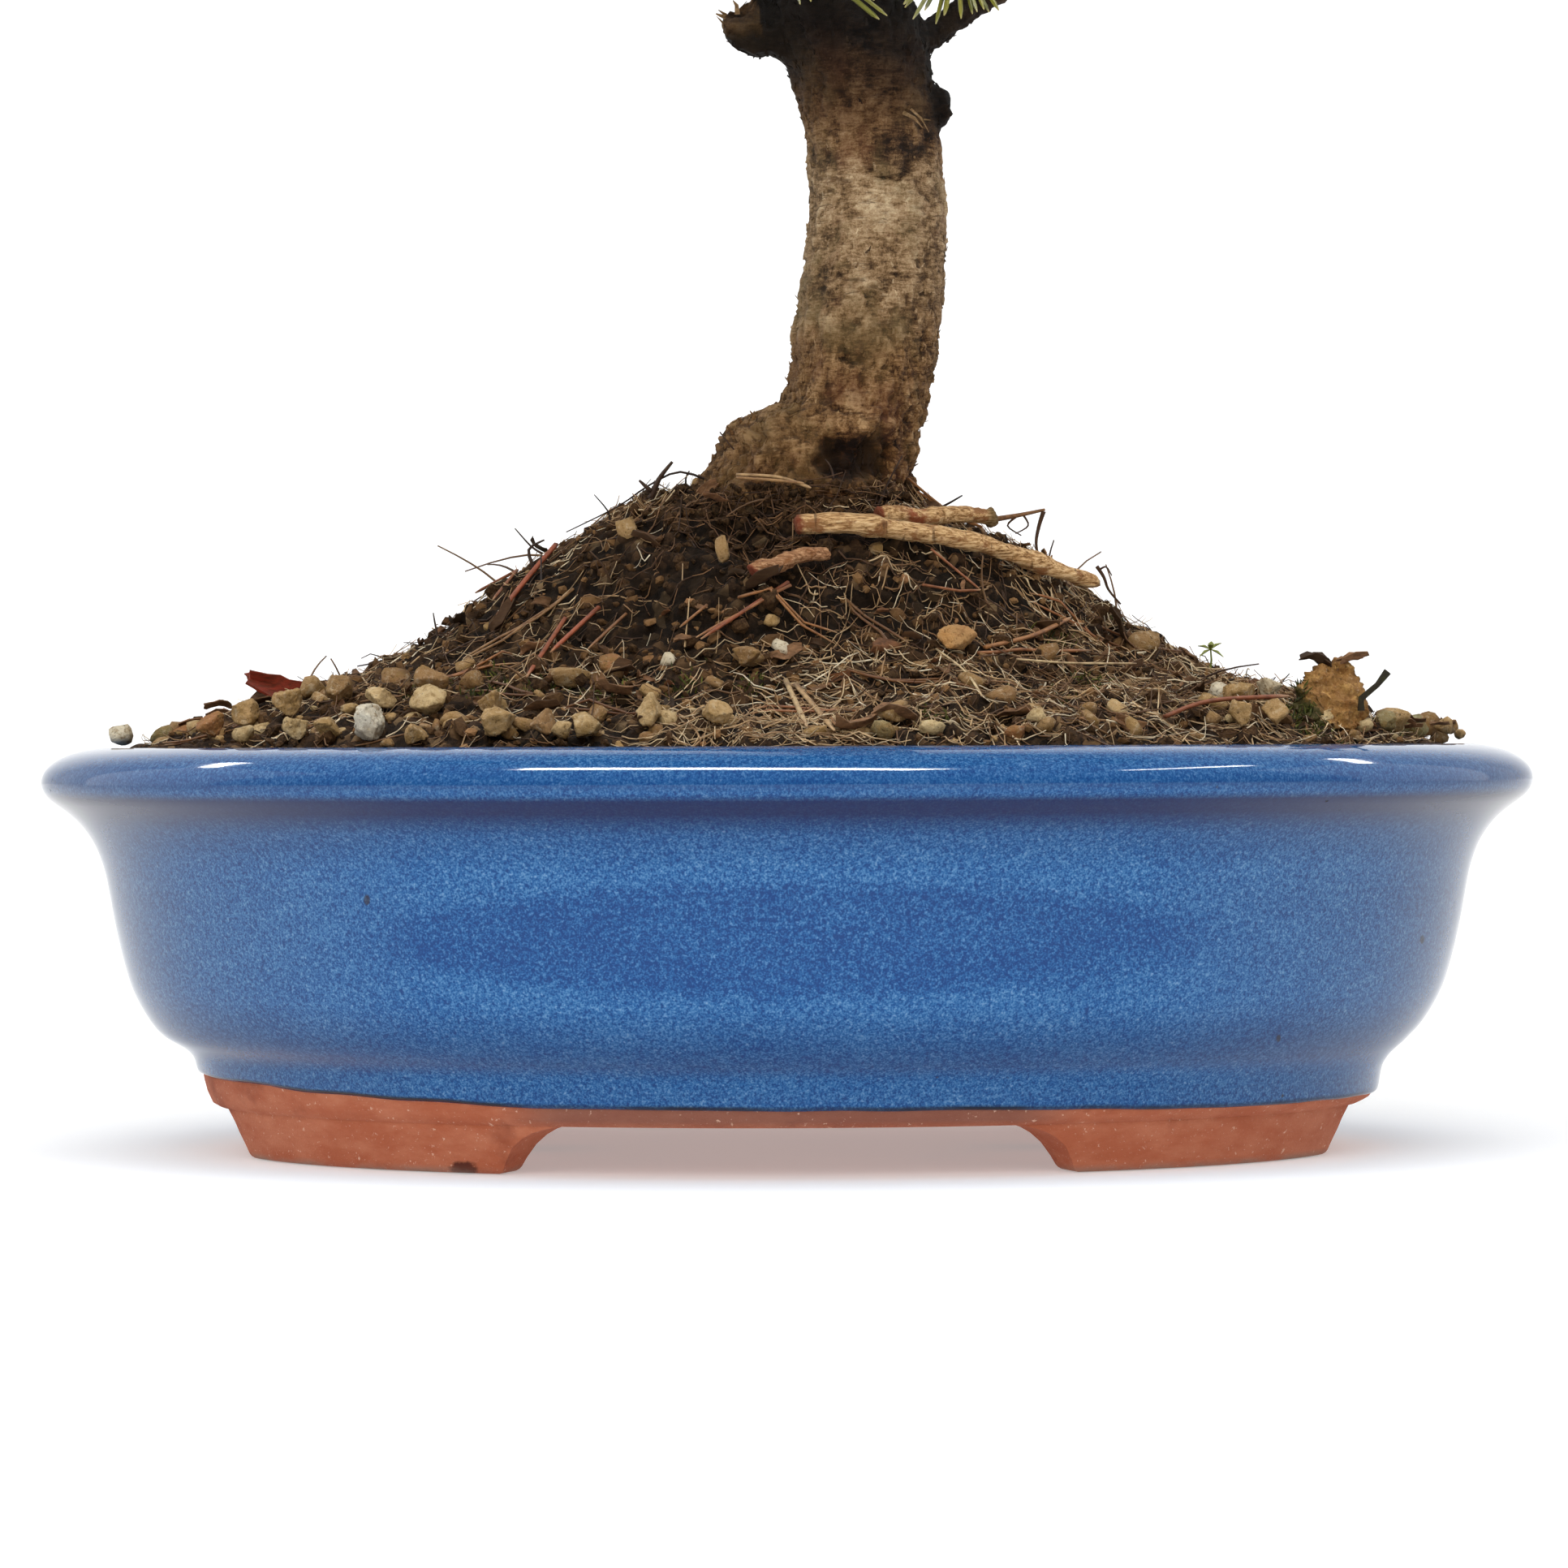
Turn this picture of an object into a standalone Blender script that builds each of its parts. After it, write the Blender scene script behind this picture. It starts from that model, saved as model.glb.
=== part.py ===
# Mugo pine bonsai in a blue glazed oval pot, at its real size in metres, with +Z up.
# The origin is the middle of the pot's footprint, on the surface that its feet stand on.

import math
import random

import bmesh
import bpy
import numpy
from mathutils import Matrix, Vector, noise

SEED = 41
GAP = 0.0004
SHADE_ANGLE = math.radians(40)

# Oval pot: each level of its outline is an ellipse, as much shallower than wide as the rim is
POT_SIDES = 48
RIM_HEIGHT = 0.104
RIM_HALF_WIDTH = 0.1904
RIM_HALF_DEPTH = 0.1504
FOOT_HEIGHT = 0.012
FOOT_RING_HALF_WIDTH = 0.128
FLOOR_HEIGHT = 0.021
FLOOR_HALF_WIDTH = 0.132

# Outline of the pot as half width and height: outside from the base up to the lip, then the inside
POT_OUTSIDE = (
    (0.1460, FOOT_HEIGHT),
    (0.1499, 0.0160),
    (0.1518, 0.0211),
    (0.1548, 0.0252),
    (0.1616, 0.0315),
    (0.1684, 0.0440),
    (0.1725, 0.0607),
    (0.1750, 0.0732),
    (0.1805, 0.0836),
    (0.1881, 0.0898),
    (RIM_HALF_WIDTH, 0.0942),
    (0.1876, 0.0990),
    (0.1795, 0.1023),
)
POT_INSIDE = (
    (0.1738, RIM_HEIGHT),
    (0.1696, 0.1025),
    (0.1676, 0.0970),
    (0.1655, 0.0700),
    (0.1600, 0.0430),
    (0.1490, 0.0265),
    (FLOOR_HALF_WIDTH, FLOOR_HEIGHT),
)
OUTSIDE_STEPS = 2

# Four feet, each a run of the base ring's sides, drawn in a little towards the ground
FOOT_FIRST_SIDE = 2
FOOT_LAST_SIDE = 9
FOOT_END_TAPER = 0.84
FOOT_SIDE_TAPER = 0.0035

# Holes through the base, and the plastic screens that lie over the two large ones
DRAIN_RADIUS = 0.010
DRAIN_OFFSET = 0.062
DRAIN_SIDES = 16
WIRE_HOLE_RADIUS = 0.0026
WIRE_HOLE_X = 0.034
WIRE_HOLE_Y = 0.040
WIRE_HOLE_SIDES = 8
SCREEN_OPENINGS = 3
SCREEN_PITCH = 0.008
SCREEN_BAR = 0.0026
SCREEN_THICKNESS = 0.0012

# Mound of soil: share of the way out to the wall, and height above the rim
MOUND = (
    (0.00, 0.070),
    (0.18, 0.066),
    (0.30, 0.056),
    (0.42, 0.045),
    (0.54, 0.0275),
    (0.66, 0.0185),
    (0.80, 0.0120),
    (0.92, 0.0050),
    (1.00, -0.0015),
)
MOUND_EDGE_SHARE = 0.985
MOUND_HALF_WIDTH = 0.168
MOUND_HALF_DEPTH = 0.124
SOIL_WALL_TOP = 0.1010
LUMP_HEIGHT = 0.0022
LUMPS_PER_METRE = 38.0

# Trunk, from its root plug up: height above the rim, x, y and half width
TRUNK_SIDES = 12
TRUNK_DEPTH_SHARE = 0.94
TRUNK_LINE = (
    (0.030, 0.0030, 0.000, 0.0240),
    (0.064, 0.0033, 0.000, 0.0298),
    (0.071, 0.0045, 0.000, 0.0285),
    (0.079, 0.0092, 0.000, 0.0254),
    (0.087, 0.0160, 0.000, 0.0204),
    (0.098, 0.0199, 0.000, 0.0191),
    (0.118, 0.0226, 0.001, 0.0186),
    (0.138, 0.0238, 0.002, 0.0174),
    (0.156, 0.0224, 0.002, 0.0172),
    (0.172, 0.0196, 0.001, 0.0184),
    (0.188, 0.0150, 0.000, 0.0194),
    (0.214, 0.0070, -0.003, 0.0125),
    (0.250, -0.0040, -0.006, 0.0100),
    (0.290, -0.0080, 0.000, 0.0078),
    (0.330, -0.0020, 0.005, 0.0056),
    (0.362, 0.0030, 0.004, 0.0036),
)
PLUG_LEVELS = 2
PLUG_CUTTER_RISE = 0.010
ROOT_LOBES = 3
ROOT_LOBE_SHARE = 0.07
ROOT_LOBE_TOP = 0.090

# Bare stubs: height above the rim where they leave the trunk, tip, and half width at both ends
STUBS = (
    (0.180, (-0.0165, -0.0020, 0.182), 0.0088, 0.0057),
    (0.162, (0.0424, -0.0010, 0.163), 0.0062, 0.0048),
)
STUB_BEND_SHARE = 0.6
STUB_BEND_WIDTH = 0.9

# Branches: height above the rim at the trunk, compass angle, reach, rise and shoots at the tip
BRANCHES = (
    (0.194, 178, 0.133, 0.052, 3),
    (0.191, 232, 0.108, 0.047, 3),
    (0.197, 292, 0.106, 0.050, 3),
    (0.168, 352, 0.108, 0.070, 3),
    (0.200, 48, 0.118, 0.058, 3),
    (0.196, 118, 0.117, 0.062, 3),
    (0.258, 205, 0.078, 0.052, 3),
    (0.266, 262, 0.074, 0.046, 3),
    (0.252, 322, 0.084, 0.056, 3),
    (0.270, 22, 0.082, 0.048, 3),
    (0.276, 88, 0.080, 0.044, 3),
    (0.268, 148, 0.080, 0.050, 3),
    (0.330, 180, 0.038, 0.046, 3),
    (0.334, 300, 0.038, 0.044, 3),
    (0.338, 60, 0.040, 0.042, 3),
    (0.350, 20, 0.004, 0.024, 4),
)
BRANCH_BENDS = ((0.27, 0.33, 1.0), (0.72, 0.62, -1.0))
BRANCH_WAVE = 0.07
BRANCH_SIDES = 5
BRANCH_ROOT_RADIUS = 0.0044
BRANCH_TIP_RADIUS = 0.0027
BRANCH_TAPER = 0.03

# Shoots of needles: a slim hexagonal core with whorls of needle pairs drawn out of its sides
SHOOT_SIDES = 6
SHOOT_LENGTH = 0.066
SHOOT_RADIUS = 0.0023
SHOOT_SPREAD = math.radians(50)
SHOOT_CURL = 0.275
SHOOT_TAPER = 0.2
SIDE_SHOOT_SHARE = 0.86
SIDE_SHOOT_WIDTH = 0.92
SIDE_SHOOT_START = 0.006
SIDE_SHOOT_RISE = 0.30
UPRIGHT_LEAN = 0.3
UPRIGHT_SIDE_RISE = 0.70
WHORL_SHARES = (0.34, 0.62, 0.90)
WHORL_SIDES = ((0, 6, 2), (1, 6, 2), (0, 6, 1))
WHORL_LENGTH = 0.0032
BUD_LENGTH = 0.009
NEEDLE_LENGTH = (0.036, 0.046)
NEEDLE_ANGLE = (62, 50, 34)
NEEDLE_ANGLE_SPREAD = 9
NEEDLE_SWING = 0.35
NEEDLE_PAIR_SPREAD = 0.12
NEEDLE_ROOT_SHARE = 0.3
NEEDLE_RADIUS = 0.0014
NEEDLE_TRIES = 9
CLEARANCE_SAMPLES = 9

# Loose sticks on the soil: points as x, y and clearance over the soil, with half widths at the ends
STICKS = (
    (
        "root_stick_long",
        ((0.002, -0.041, 0.0), (0.024, -0.040, 0.0), (0.050, -0.034, 0.001), (0.079, -0.026, 0.006)),
        0.0028,
        0.0019,
    ),
    (
        "root_stick_short",
        ((0.023, -0.031, 0.0), (0.038, -0.0255, 0.0015), (0.053, -0.021, 0.006)),
        0.0024,
        0.0018,
    ),
    (
        "root_stick_broken",
        ((-0.008, -0.051, 0.0), (0.000, -0.050, 0.0), (0.008, -0.048, 0.0)),
        0.0021,
        0.0015,
    ),
)
STICK_SIDES = 6

# Gravel that shows at the front, as x, y, half size and flatness
FRONT_GRAVEL = (
    (-0.1430, -0.0545, 0.0038, 0.90),
    (-0.1335, -0.0565, 0.0038, 0.92),
    (-0.1230, -0.0590, 0.0048, 0.77),
    (-0.1200, -0.0765, 0.0040, 0.72),
    (-0.1112, -0.0835, 0.0036, 0.70),
    (-0.1005, -0.0915, 0.0058, 0.70),
    (-0.0990, -0.0770, 0.0042, 0.62),
    (-0.0864, -0.0890, 0.0058, 0.68),
    (-0.0885, -0.1020, 0.0034, 0.80),
    (-0.0715, -0.0915, 0.0044, 0.56),
    (-0.0692, -0.1045, 0.0052, 0.66),
    (-0.0580, -0.1090, 0.0037, 0.82),
    (-0.0478, -0.1130, 0.0040, 0.76),
    (-0.0865, -0.0730, 0.0046, 0.74),
    (-0.1101, -0.0602, 0.0046, 0.76),
    (-0.0330, -0.1110, 0.0036, 1.05),
    (-0.0163, -0.1140, 0.0042, 0.66),
    (-0.0098, -0.0800, 0.0045, 0.56),
    (0.0249, -0.1115, 0.0040, 0.64),
    (0.1110, -0.0620, 0.0046, 0.62),
    (0.1195, -0.0530, 0.0036, 0.74),
    (0.1095, -0.0815, 0.0034, 0.96),
    (0.1190, -0.0740, 0.0036, 0.88),
    (0.1490, -0.0400, 0.0038, 0.62),
)

# Gravel elsewhere: arcs of the rim that carry it, as first and last angle and the number of stones
GRAVEL_ARCS = (
    (20, 160, 9),
)
GRAVEL_SHARE = (0.80, 0.93)
GRAVEL_HALF_SIZE = (0.0054, 0.0076)
GRAVEL_FLATNESS = (0.55, 0.75)
GRAVEL_SINK = 0.15
GRAVEL_WIDTH = (0.72, 0.95)
GRAVEL_SPACING = 1.22
LARGE_STONES = (
    ("rock_large", 0.1345, -0.0480, 0.0092, 0.88),
    ("stone_orange", 0.0418, -0.0665, 0.0052, 0.60),
)
STONE_ROUGHNESS = 0.16
STONE_NARROWEST = 0.6

COLOURS = {
    "glazed_clay": ((0.045, 0.130, 0.340), 0.12),
    "screen_plastic": ((0.030, 0.060, 0.035), 0.60),
    "soil": ((0.050, 0.031, 0.018), 0.95),
    "bark": ((0.190, 0.120, 0.070), 0.90),
    "root_wood": ((0.420, 0.280, 0.160), 0.80),
    "needles": ((0.160, 0.200, 0.045), 0.55),
    "pale_stone": ((0.460, 0.370, 0.240), 0.90),
    "rock": ((0.300, 0.170, 0.080), 0.92),
}


def clear_scene():
    for item in list(bpy.data.objects):
        bpy.data.objects.remove(item, do_unlink=True)


def finish_for(name):
    material = bpy.data.materials.get(name)
    if material is None:
        colour, roughness = COLOURS[name]
        material = bpy.data.materials.new(name)
        material.use_nodes = True
        shader = material.node_tree.nodes["Principled BSDF"]
        shader.inputs["Base Color"].default_value = (*colour, 1.0)
        shader.inputs["Roughness"].default_value = roughness
        shader.inputs["Metallic"].default_value = 0.0
    return material


def add_object(name, bm, finish):
    mesh = bpy.data.meshes.new(name)
    bm.to_mesh(mesh)
    bm.free()
    item = bpy.data.objects.new(name, mesh)
    bpy.context.scene.collection.objects.link(item)
    mesh.materials.append(finish_for(finish))
    return item


def shade_round(item):
    item.data.shade_smooth()
    item.data.set_sharp_from_angle(angle=SHADE_ANGLE)


def is_closed(mesh):
    bm = bmesh.new()
    bm.from_mesh(mesh)
    closed = all(edge.is_manifold for edge in bm.edges)
    bm.free()
    return closed


def combine(item, others, operation):
    # One Boolean of an object with a collection, applied; the collection's objects are then removed
    group = bpy.data.collections.new("operands")
    bpy.context.scene.collection.children.link(group)
    for other in others:
        group.objects.link(other)
    modifier = item.modifiers.new("join", "BOOLEAN")
    modifier.operation = operation
    modifier.operand_type = "COLLECTION"
    modifier.collection = group
    for solver in ("EXACT", "MANIFOLD"):
        modifier.solver = solver
        bpy.context.view_layer.update()
        evaluated = item.evaluated_get(bpy.context.evaluated_depsgraph_get())
        result = bpy.data.meshes.new_from_object(evaluated)
        if is_closed(result):
            break
    item.modifiers.clear()
    item.data = result
    for other in others:
        bpy.data.objects.remove(other, do_unlink=True)
    bpy.data.collections.remove(group)


def smooth_curve(points, steps):
    # Catmull-Rom curve through points of any number of coordinates
    ends = [points[0], *points, points[-1]]
    curve = []
    for before, start, end, after in zip(ends, ends[1:], ends[2:], ends[3:]):
        for step in range(steps):
            t = step / steps
            curve.append(tuple(
                0.5 * (2 * b + (c - a) * t + (2 * a - 5 * b + 4 * c - d) * t ** 2
                       + (3 * b - a - 3 * c + d) * t ** 3)
                for a, b, c, d in zip(before, start, end, after)
            ))
    curve.append(tuple(points[-1]))
    return curve


def loft(bm, rings):
    # Quads through rings of equally many points, counter-clockwise about the way up, ends capped
    rows = [[bm.verts.new(point) for point in ring] for ring in rings]
    for lower, upper in zip(rows, rows[1:]):
        for i, vertex in enumerate(lower):
            j = (i + 1) % len(lower)
            bm.faces.new((vertex, lower[j], upper[j], upper[i]))
    bm.faces.new(list(reversed(rows[0])))
    bm.faces.new(rows[-1])
    return rows


def oval_ring(half_width, height):
    half_depth = half_width - (RIM_HALF_WIDTH - RIM_HALF_DEPTH)
    ring = []
    for i in range(POT_SIDES):
        angle = 2 * math.pi * i / POT_SIDES
        ring.append((half_width * math.cos(angle), half_depth * math.sin(angle), height))
    return ring


def cross_rings(path, sides):
    # Rings square to a path of (x, y, z, radius), carried along it without twisting
    points = [Vector(point[:3]) for point in path]
    side = None
    rings = []
    for i, point in enumerate(points):
        ahead = points[min(i + 1, len(points) - 1)]
        behind = points[max(i - 1, 0)]
        along = (ahead - behind).normalized()
        if side is None:
            side = along.orthogonal()
        side = (side - along * side.dot(along)).normalized()
        other = along.cross(side)
        ring = []
        for k in range(sides):
            angle = 2 * math.pi * k / sides
            ring.append(point + (side * math.cos(angle) + other * math.sin(angle)) * path[i][3])
        rings.append(ring)
    return rings


def tube(name, path, sides, finish):
    bm = bmesh.new()
    loft(bm, cross_rings(path, sides))
    return add_object(name, bm, finish)


def drill(x, y, radius, sides):
    bm = bmesh.new()
    low = FOOT_HEIGHT - radius
    high = FLOOR_HEIGHT + radius
    loft(bm, cross_rings([(x, y, low, radius), (x, y, high, radius)], sides))
    return add_object("drill", bm, "glazed_clay")


def add_foot(bm, base_ring, inner_ring, first, last):
    # The base's underside between two of its sides, pulled down to the ground and drawn in
    middle = math.pi * (first + last) / POT_SIDES
    bottoms = []
    for ring, half_width in (
        (inner_ring, FOOT_RING_HALF_WIDTH + FOOT_SIDE_TAPER),
        (base_ring, POT_OUTSIDE[0][0] - FOOT_SIDE_TAPER),
    ):
        half_depth = half_width - (RIM_HALF_WIDTH - RIM_HALF_DEPTH)
        bottom = []
        for i in range(first, last + 1):
            angle = middle + (2 * math.pi * i / POT_SIDES - middle) * FOOT_END_TAPER
            bottom.append(bm.verts.new((half_width * math.cos(angle), half_depth * math.sin(angle), 0.0)))
        bottoms.append(bottom)
    inner_bottom, outer_bottom = bottoms
    inner_top = [inner_ring[i % POT_SIDES] for i in range(first, last + 1)]
    outer_top = [base_ring[i % POT_SIDES] for i in range(first, last + 1)]
    for k in range(last - first):
        bm.faces.remove(bm.faces.get((inner_top[k], inner_top[k + 1], outer_top[k + 1], outer_top[k])))
        bm.faces.new((outer_bottom[k], outer_bottom[k + 1], outer_top[k + 1], outer_top[k]))
        bm.faces.new((inner_bottom[k + 1], inner_bottom[k], inner_top[k], inner_top[k + 1]))
        bm.faces.new((inner_bottom[k], inner_bottom[k + 1], outer_bottom[k + 1], outer_bottom[k]))
    bm.faces.new((inner_bottom[0], outer_bottom[0], outer_top[0], inner_top[0]))
    bm.faces.new((outer_bottom[-1], inner_bottom[-1], inner_top[-1], outer_top[-1]))


def make_pot():
    outside = smooth_curve(POT_OUTSIDE, OUTSIDE_STEPS)
    bm = bmesh.new()
    levels = [(FOOT_RING_HALF_WIDTH, FOOT_HEIGHT), *outside, *POT_INSIDE]
    rows = loft(bm, [oval_ring(half_width, height) for half_width, height in levels])
    quarter = POT_SIDES // 4
    for turn in range(4):
        first = FOOT_FIRST_SIDE if turn % 2 == 0 else quarter - FOOT_LAST_SIDE
        last = FOOT_LAST_SIDE if turn % 2 == 0 else quarter - FOOT_FIRST_SIDE
        add_foot(bm, rows[1], rows[0], turn * quarter + first, turn * quarter + last)
    pot = add_object("pot", bm, "glazed_clay")
    drills = [drill(side * DRAIN_OFFSET, 0.0, DRAIN_RADIUS, DRAIN_SIDES) for side in (-1, 1)]
    for side in (-1, 1):
        for end in (-1, 1):
            drills.append(drill(side * WIRE_HOLE_X, end * WIRE_HOLE_Y, WIRE_HOLE_RADIUS, WIRE_HOLE_SIDES))
    combine(pot, drills, "DIFFERENCE")
    shade_round(pot)


def make_screen(name, x):
    # A square grid: cells whose row and column are both odd are open
    cells = 2 * SCREEN_OPENINGS + 1
    lines = [0.0]
    for i in range(cells):
        lines.append(lines[-1] + (SCREEN_BAR if i % 2 == 0 else SCREEN_PITCH - SCREEN_BAR))
    half = lines[-1] / 2
    low = FLOOR_HEIGHT + GAP
    bm = bmesh.new()
    corners = {}
    for level, height in enumerate((low, low + SCREEN_THICKNESS)):
        for i, u in enumerate(lines):
            for j, v in enumerate(lines):
                corners[i, j, level] = bm.verts.new((x + u - half, v - half, height))

    def solid(i, j):
        inside = 0 <= i < cells and 0 <= j < cells
        return inside and not (i % 2 == 1 and j % 2 == 1)

    for i in range(cells):
        for j in range(cells):
            if not solid(i, j):
                continue
            square = ((i, j), (i + 1, j), (i + 1, j + 1), (i, j + 1))
            bm.faces.new([corners[a, b, 1] for a, b in square])
            bm.faces.new([corners[a, b, 0] for a, b in reversed(square)])
            beyond = ((i, j - 1), (i + 1, j), (i, j + 1), (i - 1, j))
            for k, neighbour in enumerate(beyond):
                if not solid(*neighbour):
                    a, b = square[k], square[(k + 1) % 4]
                    bm.faces.new((corners[*a, 0], corners[*b, 0], corners[*b, 1], corners[*a, 1]))
    for vertex in [vertex for vertex in bm.verts if not vertex.link_faces]:
        bm.verts.remove(vertex)
    add_object(name, bm, "screen_plastic")
    return half


def mound_height(x, y):
    share = min(1.0, math.hypot(x / MOUND_HALF_WIDTH, y / MOUND_HALF_DEPTH))
    for (near, high), (far, low) in zip(MOUND, MOUND[1:]):
        if share <= far:
            t = (share - near) / (far - near)
            lump = LUMP_HEIGHT * noise.noise(Vector((x, y, 0.0)) * LUMPS_PER_METRE)
            return RIM_HEIGHT + high + (low - high) * t + lump
    return RIM_HEIGHT + MOUND[-1][1]


def trunk_ring(height, x, y, radius, clearance=0.0):
    lobes = ROOT_LOBE_SHARE if height < ROOT_LOBE_TOP else 0.0
    ring = []
    for i in range(TRUNK_SIDES):
        angle = 2 * math.pi * i / TRUNK_SIDES
        reach = radius * (1 - lobes / 2 + lobes / 2 * math.cos(2 * ROOT_LOBES * angle)) + clearance
        ring.append((
            x + reach * math.cos(angle),
            y + reach * TRUNK_DEPTH_SHARE * math.sin(angle),
            RIM_HEIGHT + height,
        ))
    return ring


def trunk_place(height):
    # Middle of the trunk at a height above the rim
    for low, high in zip(TRUNK_LINE, TRUNK_LINE[1:]):
        if height <= high[0]:
            t = (height - low[0]) / (high[0] - low[0])
            x = low[1] + (high[1] - low[1]) * t
            y = low[2] + (high[2] - low[2]) * t
            return Vector((x, y, RIM_HEIGHT + height))
    top = TRUNK_LINE[-1]
    return Vector((top[1], top[2], RIM_HEIGHT + top[0]))


def branch_path(height, compass, reach, rise):
    # Out and up from the trunk, swinging a little to one side and back
    start = trunk_place(height)
    angle = math.radians(compass)
    outward = Vector((math.cos(angle), math.sin(angle), 0.0)) * reach
    sideways = Vector((-outward.y, outward.x, 0.0)) * BRANCH_WAVE
    up = Vector((0.0, 0.0, rise))
    root_radius = min(BRANCH_ROOT_RADIUS, BRANCH_TIP_RADIUS + reach * BRANCH_TAPER)
    points = [(*start, root_radius)]
    for out_share, up_share, side_share in BRANCH_BENDS:
        radius = root_radius + (BRANCH_TIP_RADIUS - root_radius) * out_share
        points.append((*(start + outward * out_share + up * up_share + sideways * side_share), radius))
    points.append((*(start + outward + up), BRANCH_TIP_RADIUS))
    return smooth_curve(points, 2)


def make_trunk(branch_paths):
    bm = bmesh.new()
    loft(bm, [trunk_ring(*level) for level in TRUNK_LINE])
    trunk = add_object("trunk", bm, "bark")
    limbs = [tube("branch", path, BRANCH_SIDES, "bark") for path in branch_paths]
    for height, (x, y, tip_height), root_radius, tip_radius in STUBS:
        start = trunk_place(height)
        tip = Vector((x, y, RIM_HEIGHT + tip_height))
        middle = start.lerp(tip, STUB_BEND_SHARE)
        path = ((*start, root_radius), (*middle, root_radius * STUB_BEND_WIDTH), (*tip, tip_radius))
        limbs.append(tube("stub", path, BRANCH_SIDES, "bark"))
    combine(trunk, limbs, "UNION")
    shade_round(trunk)


def root_plug_cutter():
    # The trunk's root plug, a little larger, carried up through the top of the mound
    levels = [trunk_ring(*level, clearance=GAP) for level in TRUNK_LINE[:PLUG_LEVELS]]
    levels[0] = [(x, y, z - GAP) for x, y, z in levels[0]]
    top = RIM_HEIGHT + MOUND[0][1] + PLUG_CUTTER_RISE
    levels.append([(x, y, top) for x, y, z in levels[-1]])
    bm = bmesh.new()
    loft(bm, levels)
    return add_object("plug_cutter", bm, "soil")


class Thicket:
    # Straight stretches of wood and needle already placed, to keep new ones clear of them
    def __init__(self):
        self.starts = []
        self.ends = []
        self.radii = []
        self.owners = []

    def add(self, start, end, radius, owner):
        self.starts.append(tuple(start))
        self.ends.append(tuple(end))
        self.radii.append(radius)
        self.owners.append(owner)

    def clearance(self, start, end, radius, owner, own):
        # Smallest gap to the stretches of this owner, or to those of all others
        mask = numpy.array([(other == owner) == own for other in self.owners])
        if not mask.any():
            return 1.0
        p = numpy.array(self.starts)[mask]
        u = numpy.array(self.ends)[mask] - p
        radii = numpy.array(self.radii)[mask]
        q = numpy.array(start)
        v = numpy.array(end) - q
        best = None
        for t in numpy.linspace(0.0, 1.0, CLEARANCE_SAMPLES):
            spot = q + v * t
            along = numpy.clip(((spot - p) * u).sum(1) / (u * u).sum(1), 0.0, 1.0)
            distance = numpy.linalg.norm(spot - p - u * along[:, None], axis=1) - radii
            nearest = distance.min()
            best = nearest if best is None else min(best, nearest)
        return best - radius


def shoot_path(start, along, length, radius):
    points = []
    stops = [0.0]
    for share in WHORL_SHARES:
        stops.append(share * length)
        stops.append(share * length + WHORL_LENGTH)
    for stop in stops:
        curl = Vector((0.0, 0.0, SHOOT_CURL * stop * stop / length))
        points.append((*(start + along * stop + curl), radius * (1 - SHOOT_TAPER * stop / length)))
    return points


def needle_way(outward, along, angle, rng):
    lean = math.radians(angle + rng.uniform(-NEEDLE_ANGLE_SPREAD, NEEDLE_ANGLE_SPREAD))
    swing = rng.uniform(-NEEDLE_SWING, NEEDLE_SWING)
    outward = (Matrix.Rotation(swing, 3, along) @ outward).normalized()
    return (along * math.cos(lean) + outward * math.sin(lean)).normalized()


def needle_pair(quad, outward, along, angle, rng):
    # Tips of the two needles that grow from the halves of a quad, spread away from its diagonal
    low_first, low_second, high_second, high_first = [vertex.co for vertex in quad.verts]
    spread = (high_first - low_second).normalized() * NEEDLE_PAIR_SPREAD
    way = needle_way(outward, along, angle, rng)
    length = rng.uniform(*NEEDLE_LENGTH)
    first_root = (low_first + low_second + high_second) / 3
    second_root = (low_first + high_second + high_first) / 3
    return (
        (first_root, first_root + (way - spread).normalized() * length),
        (second_root, second_root + (way + spread).normalized() * length),
    )


def add_needle_pair(bm, quad, outward, along, angle, owner, thicket, rng):
    for _ in range(NEEDLE_TRIES):
        needles = needle_pair(quad, outward, along, angle, rng)
        clear_of_others = all(
            thicket.clearance(root, tip, NEEDLE_RADIUS, owner, False) > GAP for root, tip in needles
        )
        clear_of_own = all(
            thicket.clearance(root.lerp(tip, NEEDLE_ROOT_SHARE), tip, NEEDLE_RADIUS, owner, True) > 0.0
            for root, tip in needles
        )
        if clear_of_others and clear_of_own:
            break
    else:
        return
    low_first, low_second, high_second, high_first = list(quad.verts)
    bm.faces.remove(quad)
    halves = ((low_first, low_second, high_second), (low_first, high_second, high_first))
    for half, (root, tip) in zip(halves, needles):
        point = bmesh.ops.poke(bm, faces=[bm.faces.new(half)])["verts"][0]
        point.co = tip
        thicket.add(root, tip, NEEDLE_RADIUS, owner)


def make_shoot(path, owner, thicket, rng):
    bm = bmesh.new()
    rings = cross_rings(path, SHOOT_SIDES)
    rows = loft(bm, rings)
    for whorl in range(len(WHORL_SHARES)):
        lower = rows[1 + 2 * whorl]
        upper = rows[2 + 2 * whorl]
        low_point = Vector(path[1 + 2 * whorl][:3])
        high_point = Vector(path[2 + 2 * whorl][:3])
        along = (high_point - low_point).normalized()
        middle = low_point.lerp(high_point, 0.5)
        for k in range(*WHORL_SIDES[whorl]):
            j = (k + 1) % SHOOT_SIDES
            quad = bm.faces.get((lower[k], lower[j], upper[j], upper[k]))
            outward = (quad.calc_center_median() - middle).normalized()
            add_needle_pair(bm, quad, outward, along, NEEDLE_ANGLE[whorl], owner, thicket, rng)
    tip_face = bm.faces.get(rows[-1])
    along = (Vector(path[-1][:3]) - Vector(path[-2][:3])).normalized()
    bud = bmesh.ops.poke(bm, faces=[tip_face])["verts"][0]
    bud.co += along * BUD_LENGTH
    return add_object("shoot", bm, "needles")


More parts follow.
